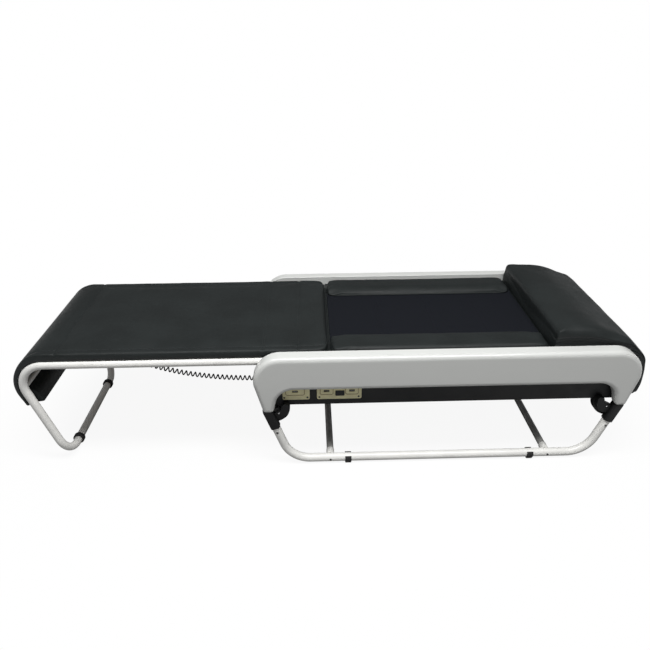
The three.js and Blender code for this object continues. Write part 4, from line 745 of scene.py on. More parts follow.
def grey_paint(colours):
    """Grey paint on the cross tubes, rubbed to bare metal by the welds at their ends"""
    base = tuple(colours.grey_paint)
    made = Finish("grey paint", base, 0.4, Metallic=0.1)
    cloud = made.noise(35, 5)
    end = made.span(made.math("ABSOLUTE", made.axis("Y")), 0.288, 0.297)
    bare = end * made.span(made.noise(7, 4), 0.2, 0.5)
    tone = made.blend(made.span(cloud, 0.3, 0.7), shade(base, 0.85), shade(base, 1.2))
    made.set("Base Color", made.blend(bare, tone, (0.55, 0.55, 0.53)))
    made.set("Metallic", 0.1 + bare * 0.6)
    made.set("Roughness", 0.34 + cloud * 0.14)
    made.bump(made.noise(1.4, 2), 0.05)
    return made.material


def galvanised(colours):
    """Zinc-coated sheet: spangles that differ in tone and shine"""
    made = Finish("zinc-coated sheet", (0.52, 0.54, 0.55), 0.42, Metallic=0.85)
    spangle = made.node("ShaderNodeTexVoronoi", {}, {"Vector": made.coordinates, "Scale": 1 / (9 * MM)})
    tone = Value(made, made.node("ShaderNodeSeparateColor", {}, {0: spangle.outputs["Color"]}).outputs[0])
    made.set("Base Color", made.blend(tone, (0.4, 0.42, 0.43), (0.62, 0.64, 0.65)))
    made.set("Roughness", 0.32 + tone * 0.22)
    made.bump(made.noise(3, 4), 0.04)
    return made.material


def plywood(colours):
    """Birch plywood: long grain, growth lines and a dark speck here and there"""
    made = Finish("birch plywood", (0.5, 0.34, 0.18), 0.7, Specular_IOR_Level=0.3)
    grain = made.noise(9, 6, 0.6, stretch=(0.06, 1, 1), distortion=0.8)
    line = made.span(made.noise(3, 3, stretch=(0.03, 1, 1)), 0.4, 0.6)
    tone = made.blend(grain, (0.58, 0.42, 0.25), (0.36, 0.22, 0.11))
    made.set("Base Color", made.blend(line * 0.35, tone, (0.28, 0.17, 0.08)))
    made.set("Roughness", 0.62 + grain * 0.2)
    made.bump(grain * 0.6 + line * 0.4, 0.12)
    return made.material


def rubber(colours):
    """Matt black rubber, greyed by dust where it meets the floor"""
    base = (0.012, 0.012, 0.013)
    made = Finish("matt black rubber", base, 0.8, Specular_IOR_Level=0.3)
    cloud = made.noise(12, 5)
    low = 1 - made.span(made.axis("Z"), 0.0, 0.02)
    dust = low * cloud * 0.5 + wear(made) * 0.2
    made.set("Base Color", made.blend(dust, shade(base, 1.4), (0.09, 0.088, 0.083)))
    made.set("Roughness", 0.7 + cloud * 0.2)
    made.bump(made.noise(0.7, 3), 0.05)
    return made.material


def cream_plastic(colours):
    """Cream socket plastic, a little yellowed and dusty in patches"""
    base = tuple(colours.cream_plastic)
    made = Finish("cream socket moulding", base, 0.42, Specular_IOR_Level=0.45)
    cloud = made.noise(22, 4)
    tone = made.blend(made.span(cloud, 0.3, 0.7), shade(base, 0.9), shade(base, 1.04))
    dust = made.span(made.noise(5, 6), 0.55, 0.8) * 0.25
    made.set("Base Color", made.blend(dust, tone, shade(base, 0.6)))
    made.set("Roughness", 0.36 + cloud * 0.14)
    made.bump(made.noise(1.0, 3), 0.05)
    return made.material


def jade(colours):
    """Polished green stone with pale clouds and thin darker veins"""
    base = tuple(colours.jade)
    made = Finish("polished green stone", base, 0.16, Coat_Weight=0.5, Coat_Roughness=0.08)
    cloud = made.noise(14, 6, 0.6, distortion=1.2)
    vein = 1 - made.span(made.cells(11, "DISTANCE_TO_EDGE"), 0.0, 0.06)
    tone = made.blend(made.span(cloud, 0.35, 0.7), shade(base, 0.55), shade(base, 1.7))
    made.set("Base Color", made.blend(vein * 0.4, tone, shade(base, 0.35)))
    made.set("Roughness", 0.12 + cloud * 0.1)
    return made.material


def nylon(colours):
    """Off-white nylon with grey rub marks"""
    made = Finish("off-white nylon", (0.66, 0.64, 0.59), 0.45)
    cloud = made.noise(10, 5)
    made.set("Base Color", made.blend(made.span(cloud, 0.5, 0.8), (0.68, 0.66, 0.61), (0.42, 0.41, 0.39)))
    made.set("Roughness", 0.36 + cloud * 0.2)
    made.bump(made.noise(1.2, 3), 0.04)
    return made.material


def steel(colours):
    """Bright machined steel with fine lines round it"""
    made = Finish("machined steel", (0.6, 0.6, 0.61), 0.28, Metallic=0.95)
    line = made.noise(0.8, 3, stretch=(0.12, 1, 1))
    made.set("Base Color", made.blend(made.noise(20, 4), (0.5, 0.5, 0.51), (0.66, 0.66, 0.67)))
    made.set("Roughness", 0.2 + line * 0.2)
    made.bump(line, 0.02)
    return made.material


def circuit_board(colours):
    """Green board with fine tracks and tinned spots"""
    made = Finish("green circuit board", (0.03, 0.14, 0.06), 0.4)
    track = made.span(made.math("SINE", made.axis("Y") * (2 * math.pi / (2.5 * MM))), 0.55, 0.75)
    gate = made.span(made.noise(9, 1, stretch=(0.3, 1, 1)), 0.48, 0.52)
    spot = 1 - made.span(made.cells(5), 0.12, 0.16)
    tone = made.blend(track * gate, (0.025, 0.12, 0.05), (0.05, 0.2, 0.09))
    made.set("Base Color", made.blend(spot, tone, (0.6, 0.58, 0.52)))
    made.set("Metallic", spot * 0.8)
    made.set("Roughness", 0.42 - spot * 0.15)
    made.bump(track * gate * 0.5 + spot, 0.08)
    return made.material


SLOT_FINISHES = {
    "white_plastic": white_plastic,
    "black_plastic": black_plastic,
    "upholstery": upholstery,
    "channel_cloth": channel_cloth,
    "white_paint": white_paint,
    "grey_paint": grey_paint,
    "galvanised": galvanised,
    "plywood": plywood,
    "rubber": rubber,
    "cream_plastic": cream_plastic,
    "jade": jade,
    "nylon": nylon,
    "steel": steel,
    "circuit_board": circuit_board,
}
made_finishes = {}


def finish_of(slot):
    """The material of a slot, made once"""
    if slot not in made_finishes:
        made_finishes[slot] = SLOT_FINISHES[slot](bpy.context.scene.bed_colours)
    return made_finishes[slot]


def extra_finish(name):
    """Small finishes that no slot has: thread, dark screws, the painted shadow round the socket blocks, and
    a near-black painted shade for the socket holes and the head cushion's welts
    """
    if name not in made_finishes:
        colours = bpy.context.scene.bed_colours
        if name == "thread":
            made = Finish("waxed thread", shade(tuple(colours.upholstery), 1.9), 0.6)
            made.bump(made.noise(0.6, 2), 0.05)
        elif name == "dark_screw":
            made = Finish("blackened steel", (0.05, 0.05, 0.052), 0.35, Metallic=0.8)
            made.set("Roughness", 0.3 + made.noise(2, 3) * 0.15)
        elif name == "groove":
            # Painted shadow: a brown line round each raised socket block, standing in for the contact
            # shadow under and beside it
            made = Finish("dusty groove in cream moulding", (0.26, 0.19, 0.1), 0.6)
            made.set("Roughness", 0.5 + made.noise(3, 3) * 0.2)
        else:
            # Painted shade: a near-black finish for the floors of the socket holes and for the head
            # cushion's welts, darker than the parts themselves
            made = Finish("dark socket lining", (0.008, 0.008, 0.009), 0.6)
            made.set("Roughness", 0.5 + made.noise(3, 3) * 0.2)
        made_finishes[name] = made.material
    return made_finishes[name]


def mark_wear(piece):
    """Gives a piece an attribute that is 1 on its sharp outward edges and 0 elsewhere"""
    work = bmesh.new()
    work.from_mesh(piece.data)
    layer = work.verts.layers.float.new("edge_wear")
    for edge in work.edges:
        if len(edge.link_faces) == 2 and edge.is_convex:
            turn = edge.calc_face_angle(0)
            if turn > math.radians(20):
                for vert in edge.verts:
                    vert[layer] = 1.0
    work.to_mesh(piece.data)
    work.free()


def dress(piece, slot, body, node=None):
    """Attaches a piece to the body that it rides on and hides the node that it stands for; the slot is not
    used
    """
    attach(piece, body)
    if node:
        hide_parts(node)


# Geometry Nodes
class Growth(Tree):
    """A geometry tree with named inputs, which ends in Realize Instances and Set Material"""

    def __init__(self, name, inputs):
        nodes = bpy.data.node_groups.new(name, "GeometryNodeTree")
        nodes.is_modifier = True
        super().__init__(nodes)
        kinds = {"Material": "NodeSocketMaterial", "Geometry": "NodeSocketGeometry"}
        self.sockets = {}
        for label, value in {"Geometry": None, **inputs, "Finish": "Material"}.items():
            kind = "NodeSocketInt" if isinstance(value, int) else "NodeSocketFloat"
            kind = kinds["Geometry"] if value is None else kinds.get(value, kind)
            self.sockets[label] = nodes.interface.new_socket(label, in_out="INPUT", socket_type=kind)
        nodes.interface.new_socket("Geometry", in_out="OUTPUT", socket_type="NodeSocketGeometry")
        self.inputs = self.node("NodeGroupInput").outputs

    def given(self, label):
        """One of the tree's inputs"""
        return Value(self, self.inputs[label])

    def carried(self, name):
        """A vector that each point of the host carries"""
        return self.node("GeometryNodeInputNamedAttribute", {"data_type": "FLOAT_VECTOR"}, {"Name": name})

    def end(self, geometry):
        """Closes the tree: instances made real, and the finish set"""
        whole = self.node("GeometryNodeRealizeInstances", {}, {0: geometry})
        sockets = {"Geometry": whole, "Material": self.inputs["Finish"]}
        dressed = self.node("GeometryNodeSetMaterial", {}, sockets)
        self.node("NodeGroupOutput", {}, {0: dressed})
        return self

    def grow(self, name, points, edges, finish, outward=None, smooth_angle=35, **values):
        """The tree's result on a host of points and edges, as a plain mesh"""
        mesh = bpy.data.meshes.new(name)
        mesh.from_pydata([tuple(p) for p in points], edges, [])
        if outward is not None:
            mesh.attributes.new("outward", "FLOAT_VECTOR", "POINT")
            for item, way in zip(mesh.attributes["outward"].data, outward):
                item.vector = way
        host = bpy.data.objects.new(name + "_host", mesh)
        bpy.context.scene.collection.objects.link(host)
        modifier = host.modifiers.new("Growth", "NODES")
        modifier.node_group = self.tree
        modifier[self.sockets["Finish"].identifier] = finish
        for label, value in values.items():
            modifier[self.sockets[label.replace("_", " ").capitalize()].identifier] = value
        graph = bpy.context.evaluated_depsgraph_get()
        grown = bpy.data.meshes.new_from_object(host.evaluated_get(graph), depsgraph=graph)
        host.modifiers.clear()
        bpy.data.objects.remove(host)
        if not grown.polygons:
            raise RuntimeError(f"{name}: the node tree made no faces")
        grown.name = name
        if not grown.materials or grown.materials[0] is None:
            grown.materials.clear()
            grown.materials.append(finish)
        if "outward" in grown.attributes:
            grown.attributes.remove(grown.attributes["outward"])
        grown.shade_smooth()
        grown.set_sharp_from_angle(angle=math.radians(smooth_angle))
        piece = bpy.data.objects.new(name, grown)
        bpy.context.scene.collection.objects.link(piece)
        return piece


growths = {}


def tube_growth():
    """A round tube that follows a path"""
    if "tube" not in growths:
        tree = Growth("Tube along a path", {"Radius": 0.015, "Sides": 32})
        path = tree.node("GeometryNodeMeshToCurve", {}, {0: tree.inputs["Geometry"]})
        sockets = {"Resolution": tree.inputs["Sides"], "Radius": tree.inputs["Radius"]}
        ring = tree.node("GeometryNodeCurvePrimitiveCircle", {"mode": "RADIUS"}, sockets)
        sockets = {"Curve": path, "Profile Curve": ring, "Fill Caps": True}
        skin = tree.node("GeometryNodeCurveToMesh", {}, sockets)
        growths["tube"] = tree.end(skin)
    return growths["tube"]


def screw_growth():
    """Cross-recess screw heads on points, each facing the way that its point carries"""
    if "screw" not in growths:
        tree = Growth("Screw heads on points", {"Head radius": 0.004, "Head height": 0.0022})
        radius, height = tree.given("Head radius"), tree.given("Head height")
        sockets = {"Segments": 20, "Rings": 10, "Radius": tree.inputs["Head radius"]}
        head = tree.node("GeometryNodeMeshUVSphere", {}, sockets)
        flat = tree.node("ShaderNodeCombineXYZ", {}, {0: 1.0, 1: 1.0, 2: height / radius})
        dome = tree.node("GeometryNodeTransform", {}, {"Geometry": head, "Scale": flat})
        cutters = []
        for wide, narrow in ((1.15, 0.26), (0.26, 1.15)):
            size = tree.node("ShaderNodeCombineXYZ", {}, {0: radius * wide, 1: radius * narrow, 2: height})
            bar = tree.node("GeometryNodeMeshCube", {}, {"Size": size})
            lift = tree.node("ShaderNodeCombineXYZ", {}, {2: height})
            cutters.append(tree.node("GeometryNodeTransform", {}, {"Geometry": bar, "Translation": lift}))
        cut = tree.node("GeometryNodeMeshBoolean", {"operation": "DIFFERENCE"}, {"Mesh 1": dome})
        for cutter in cutters:
            tree.tree.links.new(cutter.outputs[0], cut.inputs["Mesh 2"])
        way = tree.carried("outward")
        turn = tree.node("FunctionNodeAlignRotationToVector", {"axis": "Z"}, {"Vector": way.outputs[0]})
        sockets = {"Points": tree.inputs["Geometry"], "Instance": cut, "Rotation": turn}
        placed = tree.node("GeometryNodeInstanceOnPoints", {}, sockets)
        growths["screw"] = tree.end(placed)
    return growths["screw"]


def stitch_growth():
    """Short arched stitches in a row along a path, each standing off the cloth below it"""
    if "stitch" not in growths:
        tree = Growth("Stitches along a path", {"Pitch": 0.0055, "Length": 0.0038, "Thread": 0.0004})
        path = tree.node("GeometryNodeMeshToCurve", {}, {0: tree.inputs["Geometry"]})
        sockets = {"Curve": path, "Length": tree.inputs["Pitch"]}
        row = tree.node("GeometryNodeResampleCurve", {"mode": "LENGTH"}, sockets)
        half, thread = tree.given("Length") * 0.5, tree.given("Thread")
        ends = [tree.node("ShaderNodeCombineXYZ", {}, {0: half * way}) for way in (-1.0, 1.0)]
        top = tree.node("ShaderNodeCombineXYZ", {}, {2: thread * 3.0})
        sockets = {"Resolution": 4, "Start": ends[0], "Middle": top, "End": ends[1]}
        arch = tree.node("GeometryNodeCurveQuadraticBezier", {}, sockets)
        sockets = {"Resolution": 5, "Radius": tree.inputs["Thread"]}
        round_thread = tree.node("GeometryNodeCurvePrimitiveCircle", {"mode": "RADIUS"}, sockets)
        sockets = {"Curve": arch, "Profile Curve": round_thread, "Fill Caps": True}
        stitch = tree.node("GeometryNodeCurveToMesh", {}, sockets)
        along = tree.node("GeometryNodeInputTangent")
        way = tree.carried("outward")
        turn = tree.node(
            "FunctionNodeAxesToRotation",
            {"primary_axis": "X", "secondary_axis": "Z"},
            {0: along.outputs[0], 1: way.outputs[0]},
        )
        sockets = {"Points": row, "Instance": stitch, "Rotation": turn}
        placed = tree.node("GeometryNodeInstanceOnPoints", {}, sockets)
        growths["stitch"] = tree.end(placed)
    return growths["stitch"]


def tube_piece(name, paths, radius, finish, sides):
    """A round tube along each path, all in one piece"""
    points, edges = [], []
    for path in paths:
        first = len(points)
        points += path
        edges += [(first + i, first + i + 1) for i in range(len(path) - 1)]
    return tube_growth().grow(name, points, edges, finish, radius=radius * MM, sides=sides)


def screws(name, places, finish, radius, height):
    """Screw heads at places, each a point in the bed's millimetres and the way it faces"""
    points = [bed(*at) for at, _ in places]
    outward = [Vector(way) for _, way in places]
    return screw_growth().grow(
        name, points, [], finish, outward, 30, head_radius=radius * MM, head_height=height * MM
    )


def stitch_rows(name, surface, lines, gap, sizes):
    """Rows of stitches on a pad's skin, on both sides of each sewn line, or along it when the gap is 0"""
    work = bmesh.new()
    work.from_mesh(surface.data)
    tree = BVHTree.FromBMesh(work)
    points, outward, edges = [], [], []
    for line in lines:
        for side in (-1, 1) if gap else (1,):
            first = len(points)
            for i, place in enumerate(line):
                along = (line[min(i + 1, len(line) - 1)] - line[max(i - 1, 0)]).normalized()
                normal = tree.find_nearest(place)[1]
                shifted = place + along.cross(normal) * side * gap * MM
                on_skin, normal = tree.find_nearest(shifted)[:2]
                points.append(on_skin)
                outward.append(normal)
            edges += [(first + i, first + i + 1) for i in range(len(line) - 1)]
    work.free()
    return stitch_growth().grow(
        name,
        points,
        edges,
        extra_finish("thread"),
        outward,
        40,
        pitch=sizes.stitch_pitch,
        length=sizes.stitch_length,
        thread=sizes.thread_radius,
    )


# Padding
def fill_pad(piece, held, pressure, limit):
    """Fills a pad as cloth with some points held, and stops each point at a limit in millimetres"""
    scene = bpy.context.scene
    group = piece.vertex_groups.new(name="held")
    group.add(held, 1.0, "REPLACE")
    filling = piece.modifiers.new("Filling", "CLOTH")
    filling.settings.vertex_group_mass = "held"
    filling.settings.use_pressure = True
    filling.settings.uniform_pressure_force = pressure
    filling.settings.effector_weights.gravity = 0
    filling.settings.mass = 0.3
    filling.settings.quality = 6
    filling.settings.tension_stiffness = 12
    filling.settings.compression_stiffness = 12
    filling.settings.bending_stiffness = 0.8
    filling.point_cache.frame_start = 1
    filling.point_cache.frame_end = FILL_FRAMES
    for number in range(1, FILL_FRAMES + 1):
        scene.frame_set(number)
    graph = bpy.context.evaluated_depsgraph_get()
    settled = [v.co.copy() for v in piece.evaluated_get(graph).data.vertices]
    piece.modifiers.remove(filling)
    piece.vertex_groups.clear()
    for vert, place in zip(piece.data.vertices, settled):
        move = place - vert.co
        if move.length > limit * MM:
            move = move.normalized() * limit * MM
        vert.co += move
    piece.data.update()


def filled(slab, name, held, pressure, limit):
    """A pad from its grid, filled while the held points stay where they are"""
    piece = slab.piece(name, finish_of("upholstery"))
    index = {tuple(round(c, 5) for c in v.co): i for i, v in enumerate(piece.data.vertices)}
    slab.index = [index.get(tuple(round(c, 5) for c in p)) for p in slab.points]
    kept = [i for i, marks in zip(slab.index, slab.marks) if i is not None and held(*marks)]
    fill_pad(piece, kept, pressure, limit)
    return piece


def top_line(slab, piece, axis, mark):
    """The places of a pad's top points that share one mark of its grid, in order"""
    picked = []
    for marks, i in zip(slab.marks, slab.index):
        if i is not None and marks[2] == 1 and abs(marks[axis] - mark) < 0.1:
            picked.append((marks, i))
    return [piece.data.vertices[i].co.copy() for _, i in sorted(picked)]


def subdivide(piece):
    """One smooth subdivision, applied"""
    modifier = piece.modifiers.new("Smooth", "SUBSURF")
    modifier.levels = modifier.render_levels = 1
    graph = bpy.context.evaluated_depsgraph_get()
    finished = bpy.data.meshes.new_from_object(piece.evaluated_get(graph), depsgraph=graph)
    piece.modifiers.clear()
    old = piece.data
    finished.name = piece.name
    piece.data = finished
    bpy.data.meshes.remove(old)
    finished.shade_smooth()


def crease(piece, depth, size, seed, low, fade):
    """Soft creases in a pad's skin, in millimetres, which fade in from a height, in metres"""
    normals = [v.normal.copy() for v in piece.data.vertices]
    for vert, normal in zip(piece.data.vertices, normals):
        at = vert.co / (size * MM)
        share = smooth_step((vert.co.z - low) / fade)
        wave = noise.noise(Vector((at.x + seed, at.y, at.z))) + 0.5 * noise.noise(at * 2.3)
        vert.co += normal * (wave * depth * MM * share)
    piece.data.update()


def dress_pad(piece, node, body, slot="upholstery"):
    """Attaches a padded piece to its body and hides the node that it stands for"""
    dress(piece, slot, body, node)


# Settings, which the sidebar shows
class BedSizes(bpy.types.PropertyGroup):
    """Sizes of the soft and small details, which the frame leaves open"""

    seam_depth: FloatProperty(
        name="Seam depth",
        description="How far a sewn line is drawn into a pad",
        default=3 * MM,
        min=0,
        max=8 * MM,
        subtype="DISTANCE",
        unit="LENGTH",
    )
    stitch_pitch: FloatProperty(
        name="Stitch pitch",
        description="From one stitch to the next",
        default=6 * MM,
        min=3 * MM,
        max=12 * MM,
        subtype="DISTANCE",
        unit="LENGTH",
    )
    stitch_length: FloatProperty(
        name="Stitch length",
        description="Length of thread that shows at each stitch",
        default=4.2 * MM,
        min=1 * MM,
        max=10 * MM,
        subtype="DISTANCE",
        unit="LENGTH",
    )
    thread_radius: FloatProperty(
        name="Thread radius",
        description="Half the thickness of the sewing thread",
        default=0.4 * MM,
        min=0.1 * MM,
        max=1 * MM,
        subtype="DISTANCE",
        unit="LENGTH",
    )
    pad_pressure: FloatProperty(
        name="Pad pressure",
        description="Pressure that fills the pads while they settle",
        default=4.0,
        min=0,
        max=10,
    )
    tube_sides: IntProperty(
        name="Tube sides",
        description="Flat sides that stand for a round tube",
        default=36,
        min=12,
        max=64,
    )


class BedColours(bpy.types.PropertyGroup):
    """Colours of the bed's finishes"""

    upholstery: FloatVectorProperty(
        name="Upholstery",
        description="Colour of the mats, bolsters and head cushion",
        default=(0.014, 0.017, 0.017),
        min=0,
        max=1,
        subtype="COLOR",
    )
    channel_cloth: FloatVectorProperty(
        name="Channel cloth",
        description="Colour of the cloth over the rollers",
        default=(0.0072, 0.0083, 0.0115),
        min=0,
        max=1,
        subtype="COLOR",
    )
    white_plastic: FloatVectorProperty(
        name="White plastic",
        description="Colour of the side panels",
        default=(0.66, 0.67, 0.65),
        min=0,
        max=1,
        subtype="COLOR",
    )
    black_plastic: FloatVectorProperty(
        name="Black plastic",
        description="Colour of the case and the knuckles",
        default=(0.0062, 0.0066, 0.0072),
        min=0,
        max=1,
        subtype="COLOR",
    )
    white_paint: FloatVectorProperty(
        name="White paint",
        description="Colour of the skids and the leg section's tube",
        default=(0.9, 0.895, 0.865),
        min=0,
        max=1,
        subtype="COLOR",
    )
    grey_paint: FloatVectorProperty(
        name="Grey paint",
        description="Colour of the cross tubes",
        default=(0.4, 0.4, 0.385),
        min=0,
        max=1,
        subtype="COLOR",
    )
    cream_plastic: FloatVectorProperty(
        name="Cream plastic",
        description="Colour of the socket plates",
        default=(0.85, 0.795, 0.49),
        min=0,
        max=1,
        subtype="COLOR",
    )
    jade: FloatVectorProperty(
        name="Jade",
        description="Colour of the massage rollers",
        default=(0.16, 0.32, 0.17),
        min=0,
        max=1,
        subtype="COLOR",
    )


class BedStage(bpy.types.PropertyGroup):
    """Camera and light"""

    lens: FloatProperty(
        name="Lens",
        description="The camera's focal length on a sensor 36 mm wide",
        default=32.33,
        min=10,
        max=200,
        subtype="DISTANCE_CAMERA",
        unit="CAMERA",
    )
    overhead: FloatProperty(
        name="Overhead light",
        description="Power of the large soft light above the bed",
        default=95,
        min=0,
        max=1000,
        subtype="POWER",
        unit="POWER",
    )
    surround: FloatProperty(
        name="Surrounding light",
        description="Strength of the even light from all round",
        default=0.22,
        min=0,
        max=2,
    )


# Steps, one operator for each group of pieces
class BedStep(bpy.types.Operator):
    """One step of dressing the bed"""

    bl_options = {"REGISTER", "UNDO"}

    def execute(self, context):
        self.make(context.scene)
        return {"FINISHED"}


class MASSAGE_OT_camera(BedStep):
    """Places the camera as the picture has it"""

    bl_idname = "massage.camera"
    bl_label = "Camera"

    def make(self, scene):
        pitch, yaw, roll = 0.49352, 0.02564, 0.00669
        ahead = Vector((math.sin(yaw) * math.cos(pitch), math.cos(yaw) * math.cos(pitch), -math.sin(pitch)))
        right = Vector((math.cos(yaw), -math.sin(yaw), 0))
        down = ahead.cross(right)
        across = right * math.cos(roll) + down * math.sin(roll)
        below = down * math.cos(roll) - right * math.sin(roll)
        data = bpy.data.cameras.new("camera")
        data.sensor_fit = "HORIZONTAL"
        data.sensor_width = 36
        data.lens = scene.bed_stage.lens
        data.shift_x = -0.00104
        data.clip_end = 200
        camera = bpy.data.objects.new("camera", data)
        scene.collection.objects.link(camera)
        turn = Matrix((across, -below, -ahead)).transposed().to_4x4()
        place = (-0.066184, -1.94082, 1.4286)
        camera.matrix_world = Matrix.Translation(place) @ turn
        scene.camera = camera


class MASSAGE_OT_stage(BedStep):
    """Lays a pale floor and sets the soft light"""

    bl_idname = "massage.stage"
    bl_label = "Floor and light"

    def make(self, scene):
        scene.view_settings.view_transform = "Standard"
        self.floor()
        self.lamps(scene)
        self.world(scene)

    def floor(self):
        """A floor that the camera sees nearly white, and that lights the bed from below only softly"""
        floor = Finish("pale floor", (0.9, 0.9, 0.9), 0.9, Specular_IOR_Level=0.1)
        path = floor.node("ShaderNodeLightPath").outputs
        dim, white = (0.27, 0.27, 0.27), (0.95, 0.95, 0.95)
        floor.set("Base Color", floor.blend(path["Is Camera Ray"], dim, white))
        across = floor.axis("X") / 1.75
        along = floor.axis("Y") / 1.0
        away = floor.span(floor.math("SQRT", across * across + along * along), 0.55, 1.0)
        seen = Value(floor, path["Is Camera Ray"]) * (0.92 + away * 0.08)
        mirrored = floor.math("MAXIMUM", path["Is Glossy Ray"], path["Is Transmission Ray"])
        glow = floor.node("ShaderNodeEmission", {}, {"Color": (1, 1, 1, 1), "Strength": 1.0})
        share = floor.math("MAXIMUM", seen, mirrored * away)
        mixed = floor.node("ShaderNodeMixShader", {}, {0: share, 1: floor.shader, 2: glow})
        floor.put(floor.tree.nodes["Material Output"].inputs["Surface"], mixed)
        half = 40.0
        corners = [(-half, -half, 0), (half, -half, 0), (half, half, 0), (-half, half, 0)]
        piece_from("floor", corners, [(0, 1, 2, 3)], floor.material)

    def lamps(self, scene):
        """A large light overhead and a weak one in front"""
        settings = scene.bed_stage
        aim = Vector((0.1, 0, 0.35))
        for name, place, size, power in (
            ("overhead_light", (0.0, -0.9, 2.9), (3.2, 0.6), settings.overhead),
            ("front_light", (-0.7, -3.3, 2.6), (2.4, 1.4), settings.overhead * 0.045),
        ):
            data = bpy.data.lights.new(name, "AREA")
            data.shape = "RECTANGLE"
            data.size, data.size_y = size
            data.energy = power
            lamp = bpy.data.objects.new(name, data)
            scene.collection.objects.link(lamp)
            lamp.location = place
            lamp.rotation_euler = (aim - Vector(place)).to_track_quat("-Z", "Y").to_euler()

    def world(self, scene):
        """An even room that the camera sees white"""
        world = bpy.data.worlds.new("soft white room")
        scene.world = world
        world.use_nodes = True
        tree = Tree(world.node_tree)
        plain = world.node_tree.nodes["Background"]
        tree.put(plain.inputs["Color"], (1, 1, 1, 1))
        tree.put(plain.inputs["Strength"], scene.bed_stage.surround)
        white = tree.node("ShaderNodeBackground", {}, {"Color": (1, 1, 1, 1), "Strength": 1.0})
        path = tree.node("ShaderNodeLightPath").outputs
        mixed = tree.node("ShaderNodeMixShader", {}, {0: path["Is Camera Ray"], 1: plain, 2: white})
        tree.put(world.node_tree.nodes["World Output"].inputs["Surface"], mixed)


def lead_path():
    """The coiled lead's route from the gland to the plug"""
    start, end = (bed(x, LEAD_Y, z) for x, z in (LEAD_START, LEAD_END))
    straight = Vector((2 * LEAD_RADIUS * MM, 0, 0))
    first, last = start + straight, end - straight
    between = []
    for share, fall in LEAD_SHARES:
        between.append(Vector((mix(start.x, end.x, share), start.y, mix(start.z, end.z, fall))))
    centre = even_curve([first, *between, last], LEAD_CURLS * CURL_STEPS)
    points = [start, start + straight * 0.5, first]
    count = len(centre) - 1
    for i in range(1, count):
        along = (centre[i + 1] - centre[i - 1]).normalized()
        sideways = Vector((0, 1, 0))
        up = along.cross(sideways).normalized()
        angle = 2 * math.pi * i / CURL_STEPS
        grown = min(1, i / CURL_STEPS, (count - i) / CURL_STEPS)
        radius = LEAD_COIL * MM * math.sin(grown * math.pi / 2)
        points.append(centre[i] + sideways * radius * math.cos(angle) + up * radius * math.sin(angle))
    points += [last, end - straight * 0.5, end]
    return points[::-1]


class MASSAGE_OT_lead(BedStep):
    """Makes the coiled lead with its plug, gland and strain relief"""

    bl_idname = "massage.lead"
    bl_label = "Coiled lead"

    def make(self, scene):
        path = lead_path()
        lead = tube_piece("curly_lead", [path], LEAD_RADIUS, finish_of("rubber"), 10)
        black = finish_of("black_plastic")
        plug_low, plug_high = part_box("lead_plug")
        plug = self.plug(plug_low, plug_high, black)
        gland = self.gland(black)
        relief = self.relief(finish_of("rubber"))
        tuple(path[0])
        tuple(path[-1])
        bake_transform(lead)
        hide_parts("coiled_lead")
        dress(plug, "black_plastic", "leg_section", "lead_plug")
        dress(gland, "black_plastic", "root", "lead_gland")
        dress(relief, "rubber", "root")
        tuple(path[0])
        path_length(path)
        [tuple(p) for p in path]

    def plug(self, low, high, finish):
        """A ribbed plug body whose nose narrows towards the lead"""
        middle_y, middle_z = (low.y + high.y) / 2, (low.z + high.z) / 2
        half_y, half_z = (high.y - low.y) / 2, (high.z - low.z) / 2
        rings = []
        length = high.x - low.x
        stations = [(0, 0.86), (0.03, 0.97), (0.07, 1)]
        for k in range(5):
            at = 0.5 + k * 0.08
            stations += [(at, 1), (at + 0.015, 0.92), (at + 0.045, 0.92), (at + 0.06, 1)]
        stations += [(0.93, 0.97), (0.98, 0.84), (1, 0.72)]
        for share, scale in stations:
            wide, tall = half_y * scale, half_z * scale
            x = low.x + length * share
            outline = rounded(rectangle(-wide, -tall, wide, tall, 4 * MM), 5)
            rings.append([Vector((x, middle_y + p.x, middle_z + p.y)) for p in outline])
        piece = Shells().rings(rings).piece("lead_plug_body", finish, 30)
        mark_wear(piece)
        return piece

    def gland(self, finish):
        """A gland in the case's end wall: a hexagonal nut and a domed cap"""
        face = bed(CASE_LEFT, LEAD_Y, LEAD_END[1])
        profile = [(3.2, 0), (6.6, 0.3), (7.8, 1.4), (8, 3), (8, 7)]
        shells = Shells().rings(turned(profile, face, (1, 0, 0), 32))
        nut = [(9.6, 7), (10.8, 8), (10.8, 12.6), (9.8, 13.7)]
        shells.rings(turned(nut, face, (1, 0, 0), 6))
        shells.rings(turned([(8, 13), (8, 16.9)], face, (1, 0, 0), 32))
        piece = shells.piece("lead_gland_body", finish, 25)
        mark_wear(piece)
        return piece

    def relief(self, finish):
        """A short tapered sleeve round the lead where it leaves the gland"""
        profile = [(2.4, -3.6), (2.9, -3.2), (3.2, -1.4), (3.9, 0), (4.2, 1.2), (4.4, 3)]
        face = bed(CASE_LEFT, LEAD_Y, LEAD_END[1])
        return Shells().rings(turned(profile, face, (1, 0, 0), 24)).piece("lead_relief", finish)


